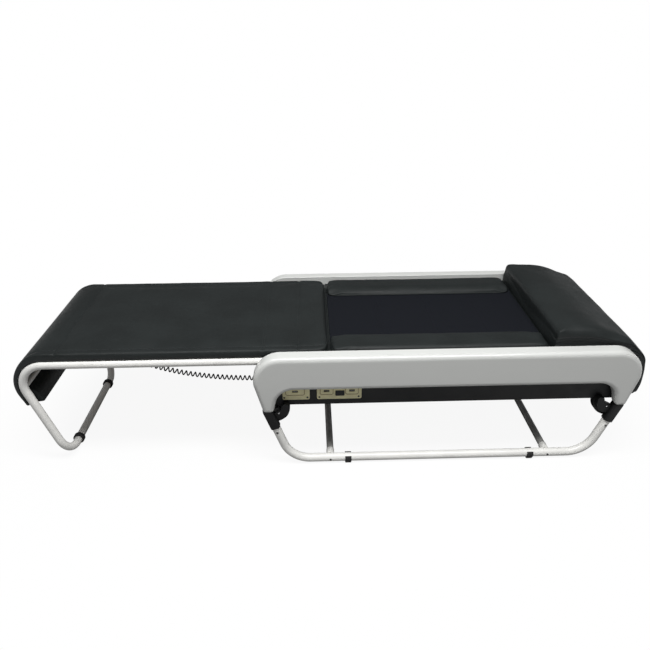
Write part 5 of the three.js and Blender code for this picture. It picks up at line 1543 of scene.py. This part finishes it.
class MASSAGE_OT_panels(BedStep):
    """Makes the two white side panels"""

    bl_idname = "massage.panels"
    bl_label = "Side panels"

    def make(self, scene):
        edge, steps = 16, 8
        corners = PANEL_CORNERS + [(-x, z, radius) for x, z, radius in reversed(PANEL_CORNERS)]

        def ring(gap, y):
            """The panel's outline at a depth; below its lower edge the panel is shallower"""
            shallow = (PANEL_TIP_DEPTH - PANEL_INNER) * (y < PANEL_TIP_DEPTH)
            places = []
            for p in rounded(inset(corners, gap), 16):
                below = smooth_step((PANEL_LOWER_EDGE - 8 - p.y) / 40)
                places.append(bed(p.x, -y - shallow * below, p.y))
            return places

        turns = [math.pi / 2 * k / steps for k in range(steps + 1)]
        hollow, deepest = edge - PANEL_WALL, PANEL_OUTER - PANEL_WALL
        rings = [ring(edge + 3, deepest)]
        for a in reversed(turns):
            rings.append(ring(edge - hollow * math.cos(a), deepest - hollow * (1 - math.sin(a))))
        rings += [ring(PANEL_WALL, PANEL_INNER + 0.6), ring(PANEL_WALL - 0.6, PANEL_INNER)]
        rings += [ring(0.8, PANEL_INNER), ring(0, PANEL_INNER + 0.8), ring(0, PANEL_OUTER - edge - 2)]
        rings += [ring(edge * (1 - math.cos(a)), PANEL_OUTER - edge * (1 - math.sin(a))) for a in turns]
        rings += [ring(edge + 3, PANEL_OUTER)]
        shells = Shells().rings(rings)
        for x in PANEL_BOSSES:
            profile = [(7, 0.5), (7, 46), (3, 46)]
            shells.rings(turned(profile, bed(x, -PANEL_INNER, 356), (0, -1, 0), 20))
        shells.rings(self.inner_wall(inset(corners, PANEL_WALL + 0.2)))
        for side, made in (("near", shells), ("far", shells.mirrored("y"))):
            panel = made.piece(f"side_panel_{side}", finish_of("white_plastic"), 30)
            dress(panel, "white_plastic", "root", f"fascia_{side}")

    def inner_wall(self, corners):
        """A wall that closes the panel's hollow above the deck, seen across the bed"""
        top = [p for p in rounded(corners, 16) if p.y > INNER_WALL_BOTTOM]
        outline = [Vector((top[0].x, INNER_WALL_BOTTOM)), *top, Vector((top[-1].x, INNER_WALL_BOTTOM))]
        return [[bed(p.x, -y, p.y) for p in outline] for y in (PANEL_INNER + 0.4, PANEL_INNER + 3)]


class MASSAGE_OT_stand(BedStep):
    """Makes the skids, cross tubes, knuckles and feet"""

    bl_idname = "massage.stand"
    bl_label = "Stand"

    def make(self, scene):
        sides = scene.bed_sizes.tube_sides
        top = SKID_CORNER + SKID_LEAN * (SKID_END - SKID_Z)
        for side, y in (("near", -SKID_Y), ("far", SKID_Y)):
            places = [
                bed(-top, y, SKID_END),
                bed(-SKID_CORNER, y, SKID_Z),
                bed(SKID_CORNER, y, SKID_Z),
                bed(top, y, SKID_END),
            ]
            path = bent_path(places, [SKID_BEND, SKID_BEND])
            skid = tube_piece(f"skid_{side}", [path], SKID_RADIUS, finish_of("white_paint"), sides)
            dress(skid, "white_paint", "root", f"skid_tube_{side}")
        for end, x in (("left", -CROSS_X), ("right", CROSS_X)):
            path = [bed(x, y, SKID_Z) for y in (-CROSS_REACH, -100, 100, CROSS_REACH)]
            tube = tube_piece(f"cross_{end}", [path], CROSS_RADIUS, finish_of("grey_paint"), sides)
            dress(tube, "grey_paint", "root", f"cross_tube_{end}")
            collars = Shells()
            for sign in (-1, 1):
                profile = [(12.6, 0), (13.6, 0.5), (13.9, 1.5), (13.9, 24), (13.9, 30)]
                collars.rings(turned(profile, bed(x, sign * 279, SKID_Z), (0, sign, 0), 36))
            collar = collars.piece(f"cross_collars_{end}", finish_of("white_paint"), 30)
            dress(collar, "white_paint", "root")
        self.mirrored_pieces(self.knuckle(), "knuckle", "stand_knuckle", "black_plastic", 30)
        self.mirrored_pieces(self.foot(), "rubber_foot", "clip_foot", "rubber", 40)

    def mirrored_pieces(self, near_right, node, name, slot, angle):
        """The same shells in all four corners of the stand"""
        for side in ("near", "far"):
            for end in ("left", "right"):
                shells = near_right
                if side == "far":
                    shells = shells.mirrored("y")
                if end == "left":
                    shells = shells.mirrored("x")
                piece = shells.piece(f"{name}_{side}_{end}", finish_of(slot), angle)
                mark_wear(piece)
                dress(piece, slot, "root", f"{node}_{side}_{end}")

    def knuckle(self):
        """The near right knuckle: a sleeve on the skid, an ear and a cheek at the case, and a lug behind"""
        low = bed(SKID_CORNER + SKID_LEAN * (SLEEVE_BOTTOM - SKID_Z), -SKID_Y, SLEEVE_BOTTOM)
        axis = Vector((SKID_LEAN, 0, 1)).normalized()
        length = (PANEL_TIP - SLEEVE_BOTTOM) / axis.z
        across, back = Vector((axis.z, 0, -axis.x)) * MM, Vector((0, MM, 0))
        rings = []
        for gap, along in ((1.4, 0), (0.5, 0), (0.1, 0.5), (0, 1.2), (0, length - 6), (2.5, length + 4)):
            reach = SLEEVE_RADIUS - gap
            outline = rounded(rectangle(-reach, -reach, reach, reach, 10 - gap), 8)
            rings.append([low + across * p.x + back * p.y + axis * along * MM for p in outline])
        shells = Shells().rings(rings)
        ear = [(529, 165, 58), (596, 166, 5), (604, 195, 4), (570, 213, 4)]
        ear += [(566, KNUCKLE_TOP, 3), (529, KNUCKLE_TOP, 2)]
        shells.plate(ear, *EAR_DEPTHS, 2.5, 14)
        cheek = [(531, 191, 38), (588, 190, 5), (594, 213, 4), (558, 232, 4)]
        cheek += [(552, 255, 9), (531, 255, 9)]
        shells.plate(cheek, *CHEEK_DEPTHS, 2.5, 12)
        lug = [(553, 173, 14), (590, 173, 14), (590, KNUCKLE_TOP, 2), (553, KNUCKLE_TOP, 2)]
        shells.plate(lug, *LUG_DEPTHS, 2, 8)
        return shells

    def foot(self):
        """The near right foot: a clip round the skid with a flat pad below"""
        wall, gap, arm = 3.2, 0.3, 13
        outer, inner = SKID_RADIUS + gap + wall, SKID_RADIUS + gap
        start, steps = math.asin(arm / outer), 28

        def arc(radius):
            turns = [start - (math.pi + 2 * start) * i / steps for i in range(steps + 1)]
            return [(radius * math.cos(a), SKID_Z + radius * math.sin(a)) for a in turns]

        outline = arc(inner) + arc(outer)[::-1]
        x0, x1, edge = FOOT_X - 11, FOOT_X + 11, 0.9
        rings = []
        centre = arc((inner + outer) / 2)
        middle = centre + centre[::-1]
        for x, share in ((x0, 0.45), (x0 + edge, 0), (x1 - edge, 0), (x1, 0.45)):
            ring = []
            for (y, z), (my, mz) in zip(outline, middle):
                ring.append(bed(x, -SKID_Y - mix(y, my, share), max(0.2, mix(z, mz, share))))
            rings.append(ring)
        shells = Shells().rings(rings)
        pad_outline = rounded(rectangle(x0, -SKID_Y - 12, x1, -SKID_Y + 12, 3), 5)
        pad_small = rounded(rectangle(x0 + 1, -SKID_Y - 11, x1 - 1, -SKID_Y + 11, 2), 5)
        levels = [(0, pad_small), (1, pad_outline), (5.4, pad_outline)]
        shells.rings([[bed(p.x, p.y, z) for p in outline] for z, outline in levels])
        return shells


def leg_down():
    """The way down the slanted legs, in x and z"""
    return Vector((LEG_FOOT - LEG_CORNER, ROLLER_RADIUS - RAIL_Z)).normalized()


def leg_bend_turn():
    """How far the leg tube turns at its top bend"""
    return Vector((-1, 0)).angle(leg_down())


def leg_bend(angle, distance):
    """A place round the leg tube's top bend, in x and z"""
    turn = leg_bend_turn()
    x = LEG_CORNER + LEG_TOP_BEND * math.tan(turn / 2)
    z = RAIL_Z - LEG_TOP_BEND
    return Vector((x - distance * math.sin(angle), z + distance * math.cos(angle)))


class MASSAGE_OT_leg_frame(BedStep):
    """Makes the leg section's bent tube with its bars and rollers"""

    bl_idname = "massage.leg_frame"
    bl_label = "Leg frame"

    def make(self, scene):
        sides = scene.bed_sizes.tube_sides
        places = [
            bed(RAIL_RIGHT, -RAIL_Y, RAIL_Z),
            bed(LEG_CORNER, -RAIL_Y, RAIL_Z),
            bed(LEG_FOOT, -RAIL_Y, ROLLER_RADIUS),
            bed(LEG_FOOT, RAIL_Y, ROLLER_RADIUS),
            bed(LEG_CORNER, RAIL_Y, RAIL_Z),
            bed(RAIL_RIGHT, RAIL_Y, RAIL_Z),
        ]
        loop = bent_path(places, [LEG_TOP_BEND, LEG_FOOT_BEND, LEG_FOOT_BEND, LEG_TOP_BEND])
        frame_tube = tube_piece("leg_loop", [loop], LEG_TUBE, finish_of("white_paint"), sides)
        reach = RAIL_Y - LEG_TUBE / 2
        bend = leg_bend(math.radians(BEND_BAR_TURN), LEG_TOP_BEND)
        spots = [(x, BAR_Z) for x in BAR_PLACES] + [(bend.x, bend.y)]
        paths = [[bed(x, y, z) for y in (-reach, 0, reach)] for x, z in spots]
        bars = tube_piece("leg_bars", paths, BAR_RADIUS, finish_of("white_paint"), 24)
        for piece in (frame_tube, bars):
            dress(piece, "white_paint", "leg_section", "leg_frame")
        for side, sign in (("near", -1), ("far", 1)):
            self.roller(side, sign)

    def roller(self, side, sign):
        """A black roller on the floor tube, with a shallow channel round its middle and softened rims"""
        half = ROLLER_WIDTH / 2
        rim = ROLLER_RADIUS
        profile = [(14.6, -half), (17.4, -half), (rim - 0.6, -half + 0.7), (rim, -half + 2), (rim, -1.6)]
        profile += [(rim - 0.7, -1), (rim - 0.7, 1), (rim, 1.6), (rim, half - 2), (rim - 0.6, half - 0.7)]
        profile += [(17.4, half), (14.6, half)]
        centre = bed(LEG_FOOT, sign * ROLLER_Y, ROLLER_RADIUS)
        shells = Shells().rings(turned(profile, centre, (0, 1, 0), 48), closed=True)
        piece = shells.piece(f"floor_roller_{side}", finish_of("rubber"), 40)
        mark_wear(piece)
        dress(piece, "rubber", f"leg_roller_{side}", f"leg_roller_{side}")


class MASSAGE_OT_leg_mat(BedStep):
    """Makes the leg section's padded mat, which wraps round the bend"""

    bl_idname = "massage.leg_mat"
    bl_label = "Leg mat"

    def make(self, scene):
        depth = scene.bed_sizes.seam_depth / MM
        inner = LEG_TOP_BEND + LEG_TUBE + 0.5
        turn = leg_bend_turn()
        bend_x = leg_bend(0, 0).x
        flat = MAT_RIGHT - bend_x
        arc = inner * turn
        down = leg_down()
        end_of_arc = leg_bend(turn, inner)
        hang = (end_of_arc.y - WRAP_BOTTOM) / -down.y
        total = flat + arc + hang
        full = MAT_TOP - MAT_BOTTOM - 2

        def route(s):
            if s <= flat:
                return Vector((MAT_RIGHT - s, MAT_BOTTOM)), Vector((0, 1))
            if s <= flat + arc:
                angle = (s - flat) / inner
                return leg_bend(angle, inner), leg_bend(angle, 1) - leg_bend(angle, 0)
            at = end_of_arc + down * (s - flat - arc)
            return at, leg_bend(turn, 1) - leg_bend(turn, 0)

        def thickness(s):
            thick = mix(full, WRAP_THICKNESS, smooth_step((s - flat) / (arc * 0.6)))
            tail = smooth_step((s - (total - 60)) / 60)
            return thick * mix(1, 0.7, tail)

        def hem(s, a):
            """How deep the lining hangs between the tubes near the mat's end, from 0 to 1"""
            along = smooth_step((s - flat - arc * 0.92) / 40)
            return along * (1 - smooth_step((abs(a) - HEM_HALF + 8) / 8))

        seams = [MAT_RIGHT - x for x in MAT_SEAMS]
        edge_line = MAT_HALF - EDGE_SEAM

        def place(s, a, h):
            height = thickness(s)
            half = plan_half(s, MAT_HALF - 3, 38)
            r = rounded_box(s, a * half / (MAT_HALF - 3), h * height, total, half, height, 11, 5)
            dip = 0.0
            if h > 0.5:
                near_seam = min(abs(s - seam) for seam in seams)
                dip = max(dip, depth * (1 - smooth_step(near_seam / 6)))
                near_edge = abs(abs(a) - edge_line)
                dip = max(dip, depth * (1 - smooth_step(near_edge / 6)))
            at, out = route(r.x)
            lining = hem(s, a) * (1 - h)
            end = smooth_step((s - total + 40) / 40)
            at = at + out * (r.z - dip - HEM_TONGUE * lining) + down * HEM_DROOP * lining * end
            return bed(at.x, r.y, at.y)

        along = spaced(total, 11, 13, seams)
        edge_seams = [EDGE_SEAM - 3, 2 * MAT_HALF - EDGE_SEAM - 3]
        across = [m - MAT_HALF + 3 for m in spaced(2 * (MAT_HALF - 3), 11, 13, edge_seams)]
        up = [0, 0.25, 0.55, 0.8, 1]
        slab = Slab(along, across, up, place)

        def held(s, a, h):
            sewn = any(abs(s - seam) < 0.1 for seam in seams) or abs(abs(a) - edge_line) < 0.1
            return h == 0 or (h == 1 and sewn)

        piece = filled(slab, "leg_mat_cover", held, scene.bed_sizes.pad_pressure, 4.5)
        lines = [top_line(slab, piece, 0, seam) for seam in seams]
        lines += [top_line(slab, piece, 1, side * edge_line) for side in (-1, 1)]
        subdivide(piece)
        crease(piece, 0.9, 70, 3.1, 0.43, 0.01)
        dress_pad(piece, "leg_mat", "leg_section")
        rows = stitch_rows("leg_mat_stitches", piece, lines, 3.6, scene.bed_sizes)
        dress(rows, "upholstery", "leg_section")


class MASSAGE_OT_bolsters(BedStep):
    """Makes the two bolsters beside the roller channel"""

    bl_idname = "massage.bolsters"
    bl_label = "Bolsters"

    def make(self, scene):
        length = BOLSTER_RIGHT - MAIN_LEFT
        half = (BOLSTER_OUTER - BOLSTER_INNER) / 2
        height = MAT_TOP - DECK_TOP - 2

        for side, sign in (("near", -1), ("far", 1)):
            middle = sign * (BOLSTER_INNER + half)

            def place(s, a, h):
                narrow = plan_half(min(s, length - s), half - 1, 30)
                r = rounded_box(s, a * narrow / (half - 1), h * height, length, narrow, height, 13, 4)
                y = middle + r.y
                lift = CHANNEL_TOP + 0.3 - DECK_TOP if abs(y) < CHANNEL_HALF + 0.6 else 0
                low = lift * (1 - r.z / height)
                across = min(1, max(0, (abs(y) - BOLSTER_INNER) / BOLSTER_SHOULDER))
                rise = mix(0.2, 1, math.sin(across * math.pi / 2))
                high = r.z if h < 0.3 else lift + (r.z - lift) * rise
                return bed(MAIN_LEFT + r.x, y, DECK_TOP + low + high)

            along = spaced(length, 13, 12)
            across = [m - half + 1 for m in spaced(2 * (half - 1), 13, 10)]
            slab = Slab(along, across, [0, 0.25, 0.55, 0.8, 1], place)

            def held(s, a, h):
                return h == 0

            piece = filled(slab, f"bolster_pad_{side}", held, scene.bed_sizes.pad_pressure, 3.5)
            subdivide(piece)
            crease(piece, 0.8, 60, 7.7 + sign, 0.43, 0.01)
            dress_pad(piece, f"bolster_{side}", "root")


class MASSAGE_OT_channel(BedStep):
    """Makes the woven cloth over the roller channel"""

    bl_idname = "massage.channel"
    bl_label = "Channel cloth"

    def make(self, scene):
        length = CHANNEL_RIGHT - MAIN_LEFT
        height = CHANNEL_TOP - DECK_TOP
        seams = [x - MAIN_LEFT for x in CHANNEL_SEAMS]

        def place(s, a, h):
            r = rounded_box(s, a, h * height, length, CHANNEL_HALF, height, 1.6, 1)
            dip = sag = slack = 0
            if abs(a) < BOLSTER_INNER:
                slack = 0.6
                if h > 0.5:
                    dip = 1.4 * (1 - smooth_step(min(abs(s - seam) for seam in seams) / 5))
                if h == 1:
                    sag = 0.8 * noise.noise(Vector((s / 90, a / 90, 0.4)))
            return bed(MAIN_LEFT + r.x, r.y, DECK_TOP + r.z - dip + sag - slack)

        along = spaced(length, 2, 12, seams)
        across = [m - CHANNEL_HALF for m in spaced(2 * CHANNEL_HALF, 2, 12)]
        slab = Slab(along, across, [0, 0.5, 1], place)
        piece = slab.piece("channel_sheet", finish_of("channel_cloth"))
        subdivide(piece)
        dress_pad(piece, "channel_cover", "root", "channel_cloth")


class MASSAGE_OT_aprons(BedStep):
    """Makes the leather facings over the deck, round the head board and at the ends that meet"""

    bl_idname = "massage.aprons"
    bl_label = "Leather facings"

    def make(self, scene):
        lip = [(MAIN_LEFT - 5, LIP_BOTTOM, 1), (MAIN_LEFT - 0.2, LIP_BOTTOM, 0.4)]
        lip += [(MAIN_LEFT - 0.2, DECK_TOP + 0.4, 1), (MAIN_LEFT - 5, DECK_TOP - 0.6, 1)]
        left = Shells().plate(lip, -LIP_HALF, LIP_HALF, 0.4, 4)
        flap = rectangle(MAIN_LEFT - 5, FLAP_BOTTOM, MAIN_LEFT - 3, LIP_BOTTOM + 0.4, 0.5)
        left.plate(flap, -FLAP_HALF, FLAP_HALF, 0.5, 3)
        decks = Shells()
        right = HEAD_FRONT + 6
        for sign in (-1, 1):
            sides = (sign * (CHANNEL_HALF + 0.4), sign * (CASE_SIDE - 0.4))
            self.sheet(decks, (MAIN_LEFT - 0.15, right), sides, DECK_SKIN)
        sides = (-CHANNEL_HALF - 0.4, CHANNEL_HALF + 0.4)
        self.sheet(decks, (CHANNEL_RIGHT + 0.2, right), sides, DECK_SKIN)
        ends = Shells()
        self.sheet(ends, (MAT_RIGHT - 3, MAIN_LEFT - 5.3), (-FACING_HALF, FACING_HALF), MAT_FACING)
        skirt = self.board_skirt()
        for name, made, body in (
            ("gap_facing", left, "root"),
            ("deck_facing", decks, "root"),
            ("board_facing", skirt, "root"),
            ("mat_end_facing", ends, "leg_section"),
        ):
            piece = made.piece(name, finish_of("upholstery"), 40)
            dress(piece, "upholstery", body)

    def sheet(self, shells, xs, ys, zs):
        """A flat sheet between two places along each axis"""
        (x0, x1), (low, high) = xs, zs
        section = [(x0, low), (x1, low), (x1, high), (x0, high)]
        shells.rings([[bed(x, y, z) for x, z in section] for y in ys])

    def board_skirt(self):
        """Strips that fold round the head board's two edges, from the deck to the board's lower end"""
        section = [(-9, 0.02), (0.9, 0.02), (0.9, -4), (1.3, -4), (1.3, 0.28), (-9, 0.28)]
        route = [(HEAD_FRONT, DECK_TOP - 0.3, 0)]
        for k in range(13):
            angle = math.pi / 2 * k / 12
            route.append((HEAD_BEND, DECK_TOP - 0.3 - HEAD_BEND_RADIUS, angle))
        route.append((HEAD_BEND, 266, math.pi / 2))
        strips = Shells()
        for sign in (-1, 1):
            rings = []
            for number, (x, z, angle) in enumerate(route):
                radius = HEAD_BEND_RADIUS if 0 < number < len(route) else 0
                out_x, out_z = math.sin(angle), math.cos(angle)
                ring = []
                for across, lift in section:
                    reach = radius + lift
                    ring.append(bed(x + out_x * reach, sign * (CASE_SIDE + across), z + out_z * reach))
                rings.append(ring)
            strips.rings(rings)
        return strips


class MASSAGE_OT_head(BedStep):
    """Makes the head cushion, which slopes to the head end and wraps over it"""

    bl_idname = "massage.head"
    bl_label = "Head cushion"

    def make(self, scene):
        depth = scene.bed_sizes.seam_depth / MM
        flat = HEAD_BEND - HEAD_FRONT
        inner = HEAD_BEND_RADIUS + 0.6
        arc = inner * math.pi / 2
        bend_z = DECK_TOP - 0.3 - HEAD_BEND_RADIUS
        hang = bend_z - HEAD_BOTTOM
        total = flat + arc + hang
        stations = [(0, 77), (10, 82), (25, 85.5), (50, 87), (85, 86), (115, 83), (140, 78), (165, 70.5)]
        stations += [(190, 61), (215, 51), (240, 40.5), (flat, 32)]
        for share, thick in ((0.27, 17), (0.5, 11), (0.75, 17), (1, 26)):
            stations.append((flat + arc * share, thick))
        for share, thick in ((0.3, 33), (0.75, 35), (1, 24)):
            stations.append((flat + arc + hang * share, thick))

        def route(s):
            if s <= flat:
                return Vector((HEAD_FRONT + s, DECK_TOP)), Vector((0, 1))
            if s <= flat + arc:
                angle = (s - flat) / inner
                out = Vector((math.sin(angle), math.cos(angle)))
                return Vector((HEAD_BEND, bend_z)) + out * inner, out
            return Vector((HEAD_BEND + inner, bend_z - (s - flat - arc))), Vector((1, 0))

        def thickness(s):
            return smooth_height(stations, s) - 2

        def place(s, a, h):
            height = thickness(s)
            edge = mix(11, 26, smooth_step(s / 60))
            r = rounded_box(s, a, h * height, total, HEAD_HALF - 2, height, edge, 4)
            at, out = route(r.x)
            at = at + out * r.z
            band = min(abs(h - share) for share in HEAD_BANDS) if abs(a) > HEAD_HALF - 4 else 1
            tuck = depth * 1.5 * (1 - smooth_step(band * height / 4))
            return bed(at.x, r.y - math.copysign(tuck, r.y), at.y)

        along = spaced(total, 14, 10)
        across = [m - HEAD_HALF + 2 for m in spaced(2 * (HEAD_HALF - 2), 14, 12)]
        up = [0, 0.14, 0.28, 0.38, 0.44, 0.495, 0.55, 0.605, 0.66, 0.72, 0.8, 0.9, 1]
        slab = Slab(along, across, up, place)

        def held(s, a, h):
            return h == 0 or (h in HEAD_BANDS and abs(a) > HEAD_HALF - 3)

        piece = filled(slab, "head_pad", held, scene.bed_sizes.pad_pressure, 4)
        subdivide(piece)
        crease(piece, 0.9, 80, 11.3, 0.3, 0.05)
        dress_pad(piece, "head_cushion", "root")
        dress(self.welts(piece, place, flat), "upholstery", "root")

    def welts(self, piece, place, flat):
        """Welts along the cushion's two sides, in its sewn lines, in a near-black finish that paints the
        shade of the sewn lines
        """
        work = bmesh.new()
        work.from_mesh(piece.data)
        tree = BVHTree.FromBMesh(work)
        paths = []
        for side in (2 - HEAD_HALF, HEAD_HALF - 2):
            for share in HEAD_BANDS:
                lines = [place(s, side, share) for s in range(2, int(flat), 6)]
                paths.append([tree.find_nearest(at)[0] for at in lines])
        work.free()
        # The welts take the near-black painted shade finish, darker than the leather, for the shade in the
        # sewn lines
        return tube_piece("head_welts", paths, 1.3, extra_finish("lining"), 8)


class MASSAGE_OT_control_panel(BedStep):
    """Makes the socket plates and the rocker switch"""

    bl_idname = "massage.control_panel"
    bl_label = "Control panel"

    def make(self, scene):
        middle = sum(PLATE_RIGHT) / 2
        self.plate("left", PLATE_LEFT, [(sum(PLATE_LEFT) / 2, 62)], None)
        self.plate("right", PLATE_RIGHT, [(middle - 43.3, 42), (middle + 43.3, 42)], ROCKER_X)
        self.rocker(ROCKER_X)

    def plate(self, end, reach, blocks, switch_x):
        """A cream plate with its raised frames, the painted shadow round them, sockets with painted shade
        behind their holes, and pins, as far as the panel shows it
        """
        left, right = reach
        shells = Shells()
        first = PLATE_SHOWN_FROM if end == "left" else left
        plate_corners = rectangle(first, PLATE_LOW, right, PLATE_HIGH, 6)
        if switch_x is None:
            shells.plate(plate_corners, PLATE_FRONT, PLATE_BACK, 0.8, 6)
        else:
            well = rectangle(switch_x - 15.6, ROCKER_Z - 10.6, switch_x + 15.6, ROCKER_Z + 10.6, 1.5)
            self.framed(shells, plate_corners, well, PLATE_FRONT, PLATE_BACK, 0.8)
        dark, block_shadows, bright = Shells(), Shells(), Shells()
        for x, width in blocks:
            half, socket = width / 2, SOCKET_WIDTH / 2
            outer = rectangle(x - half, BLOCK_LOW, x + half, BLOCK_HIGH, 5)
            hole = rectangle(x - socket, SOCKET_LOW, x + socket, SOCKET_HIGH, 1.5)
            self.framed(shells, outer, hole, BLOCK_FRONT, PLATE_FRONT + 0.6, 1.2)
            # A thin brown sheet laid on the plate round each block, reaching further below it than beside
            # it: the raised block's painted contact shadow
            groove = rectangle(x - half - 2, BLOCK_LOW - 4.6, x + half + 2, BLOCK_HIGH + 2, 8)
            block_shadows.plate(groove, PLATE_FRONT - 0.25, PLATE_FRONT + 0.3, 0.1, 8)
            # A near-black sheet behind each socket hole: the deep socket's painted shade
            floor = rectangle(x - socket - 1, SOCKET_LOW - 1, x + socket + 1, SOCKET_HIGH + 1, 1)
            dark.plate(floor, PLATE_FRONT - 0.6, PLATE_FRONT - 0.05, 0.1, 3)
            for step in SOCKET_PINS:
                pin = rectangle(x + step - 0.5, SOCKET_LOW + 3.5, x + step + 0.5, SOCKET_HIGH - 3.5, 0.4)
                bright.plate(pin, BLOCK_FRONT + 2, PLATE_FRONT - 0.3, 0.2, 3)
        piece = shells.piece(f"socket_cover_{end}", finish_of("cream_plastic"), 30)
        mark_wear(piece)
        dress(piece, "cream_plastic", "root", f"socket_plate_{end}")
        # The socket floors as one piece, in the near-black painted shade finish
        lining = dark.piece(f"socket_painted_shade_{end}", extra_finish("lining"))
        pins = bright.piece(f"socket_pins_{end}", finish_of("steel"))
        outlines = block_shadows.piece(f"socket_block_shadows_{end}", extra_finish("groove"))
        for made, slot in (
            (lining, "black_plastic"),
            (pins, "steel"),
            (outlines, "cream_plastic"),
        ):
            dress(made, slot, "root")

    def framed(self, shells, outer, hole, front, back, edge):
        """A plate with a hole through it: its outline and its hole have the same number of points"""
        rim = rounded(outer, 8)
        inner = rounded(hole, 8)
        low = rounded(inset(outer, edge), 8)
        rings = [
            [bed(p.x, back, p.y) for p in rim],
            [bed(p.x, front + edge, p.y) for p in rim],
            [bed(mix(a.x, b.x, 0.7), front + edge * 0.3, mix(a.y, b.y, 0.7)) for a, b in zip(rim, low)],
            [bed(p.x, front, p.y) for p in low],
            [bed(p.x, front, p.y) for p in rounded(inset(hole, -0.5), 8)],
            [bed(p.x, front + 0.5, p.y) for p in inner],
            [bed(p.x, back, p.y) for p in inner],
        ]
        shells.rings(rings, closed=True)

    def rocker(self, x):
        """The rocker: a tilted key with a dished face"""
        half_x, half_z, tilt = 14.4, 9.5, math.radians(7)
        rings = []
        for y, gap in ((-298.6, 0.6), (-302.6, 0), (-304.2, 0.2), (-304.8, 0.9)):
            corners = rectangle(x - half_x, ROCKER_Z - half_z, x + half_x, ROCKER_Z + half_z, 1.6)
            ring = []
            for p in rounded(inset(corners, gap), 5):
                dy, dz = y - ROCKER_Y, p.y - ROCKER_Z
                if y < PLATE_FRONT:
                    dy += 0.7 * (1 - (dz / half_z) ** 2)
                turned_y = ROCKER_Y + dy * math.cos(tilt) + dz * math.sin(tilt)
                turned_z = ROCKER_Z - dy * math.sin(tilt) + dz * math.cos(tilt)
                ring.append(bed(p.x, turned_y, turned_z))
            rings.append(ring)
        piece = Shells().rings(rings).piece("rocker_key", finish_of("black_plastic"), 35)
        mark_wear(piece)
        dress(piece, "black_plastic", "rocker_switch", "rocker_switch")


class MASSAGE_OT_fastenings(BedStep):
    """Puts in the screws of the knuckles, skids, cross tubes, socket plates and service cover"""

    bl_idname = "massage.fastenings"
    bl_label = "Screws"

    def make(self, scene):
        light, dark, small, cover = [], [], [], []
        screw_x, screw_y, screw_z = KNUCKLE_SCREW
        lower = SKID_CORNER + SKID_LEAN * (SKID_SCREW - SKID_Z)
        for y_sign in (-1, 1):
            way = (0, y_sign, 0)
            for x_sign in (-1, 1):
                light.append(((x_sign * screw_x, y_sign * screw_y, screw_z), way))
                dark.append(((x_sign * lower, y_sign * SCREW_SEAT, SKID_SCREW), way))
                dark.append(((x_sign * CROSS_X, y_sign * SCREW_SEAT, SKID_Z), way))
        for x in PLATE_SCREWS_X:
            for z in PLATE_SCREWS_Z:
                behind_panel = x < -540 and z > 300
                if not behind_panel:
                    small.append(((x, PLATE_FRONT, z), (0, -1, 0)))
        for x in COVER_SCREWS_X:
            for y in COVER_SCREWS_Y:
                cover.append(((x, y, COVER_FACE), (0, 0, -1)))
        for name, places, finish, slot, radius, height in (
            ("bright_screws", light, finish_of("steel"), "steel", 3.2, 1.6),
            ("dark_screws", dark, extra_finish("dark_screw"), "steel", 4.2, 1.8),
            ("plate_screws", small, extra_finish("dark_screw"), "steel", 3.4, 1.4),
            ("cover_screws", cover, extra_finish("dark_screw"), "steel", 4, 1.8),
        ):
            dress(screws(name, places, finish, radius, height), slot, "root")


class MASSAGE_OT_frame_finishes(BedStep):
    """Gives every carried-over piece of the frame its finish"""

    bl_idname = "massage.frame_finishes"
    bl_label = "Finishes of the frame"

    def make(self, scene):
        for part in frame["record"]["subparts"]:
            shown = frame["nodes"][part["node"]]
            shown.data.materials.clear()
            shown.data.materials.append(finish_of(part["material_slot"]))


class MASSAGE_PT_bed(bpy.types.Panel):
    """Lists the bed's steps and settings"""

    bl_label = "Massage bed"
    bl_idname = "MASSAGE_PT_bed"
    bl_space_type = "VIEW_3D"
    bl_region_type = "UI"
    bl_category = "Massage bed"

    def draw(self, context):
        layout = self.layout
        for group in (context.scene.bed_sizes, context.scene.bed_colours, context.scene.bed_stage):
            box = layout.box()
            for name in group.__annotations__:
                box.prop(group, name)
        for step in STEPS:
            layout.operator(step.bl_idname)


STEPS = [
    MASSAGE_OT_camera,
    MASSAGE_OT_lead,
    MASSAGE_OT_stage,
    MASSAGE_OT_panels,
    MASSAGE_OT_stand,
    MASSAGE_OT_leg_frame,
    MASSAGE_OT_leg_mat,
    MASSAGE_OT_bolsters,
    MASSAGE_OT_channel,
    MASSAGE_OT_aprons,
    MASSAGE_OT_head,
    MASSAGE_OT_control_panel,
    MASSAGE_OT_fastenings,
    MASSAGE_OT_frame_finishes,
]
CLASSES = [BedSizes, BedColours, BedStage, *STEPS, MASSAGE_PT_bed]


def register():
    for made in CLASSES:
        bpy.utils.register_class(made)
    bpy.types.Scene.bed_sizes = PointerProperty(type=BedSizes)
    bpy.types.Scene.bed_colours = PointerProperty(type=BedColours)
    bpy.types.Scene.bed_stage = PointerProperty(type=BedStage)


def unregister():
    for name in ("bed_sizes", "bed_colours", "bed_stage"):
        delattr(bpy.types.Scene, name)
    for made in reversed(CLASSES):
        bpy.utils.unregister_class(made)


def main():
    register()
    for step in STEPS:
        group, name = step.bl_idname.split(".")
        getattr(getattr(bpy.ops, group), name)()


if __name__ == "__main__":
    main()
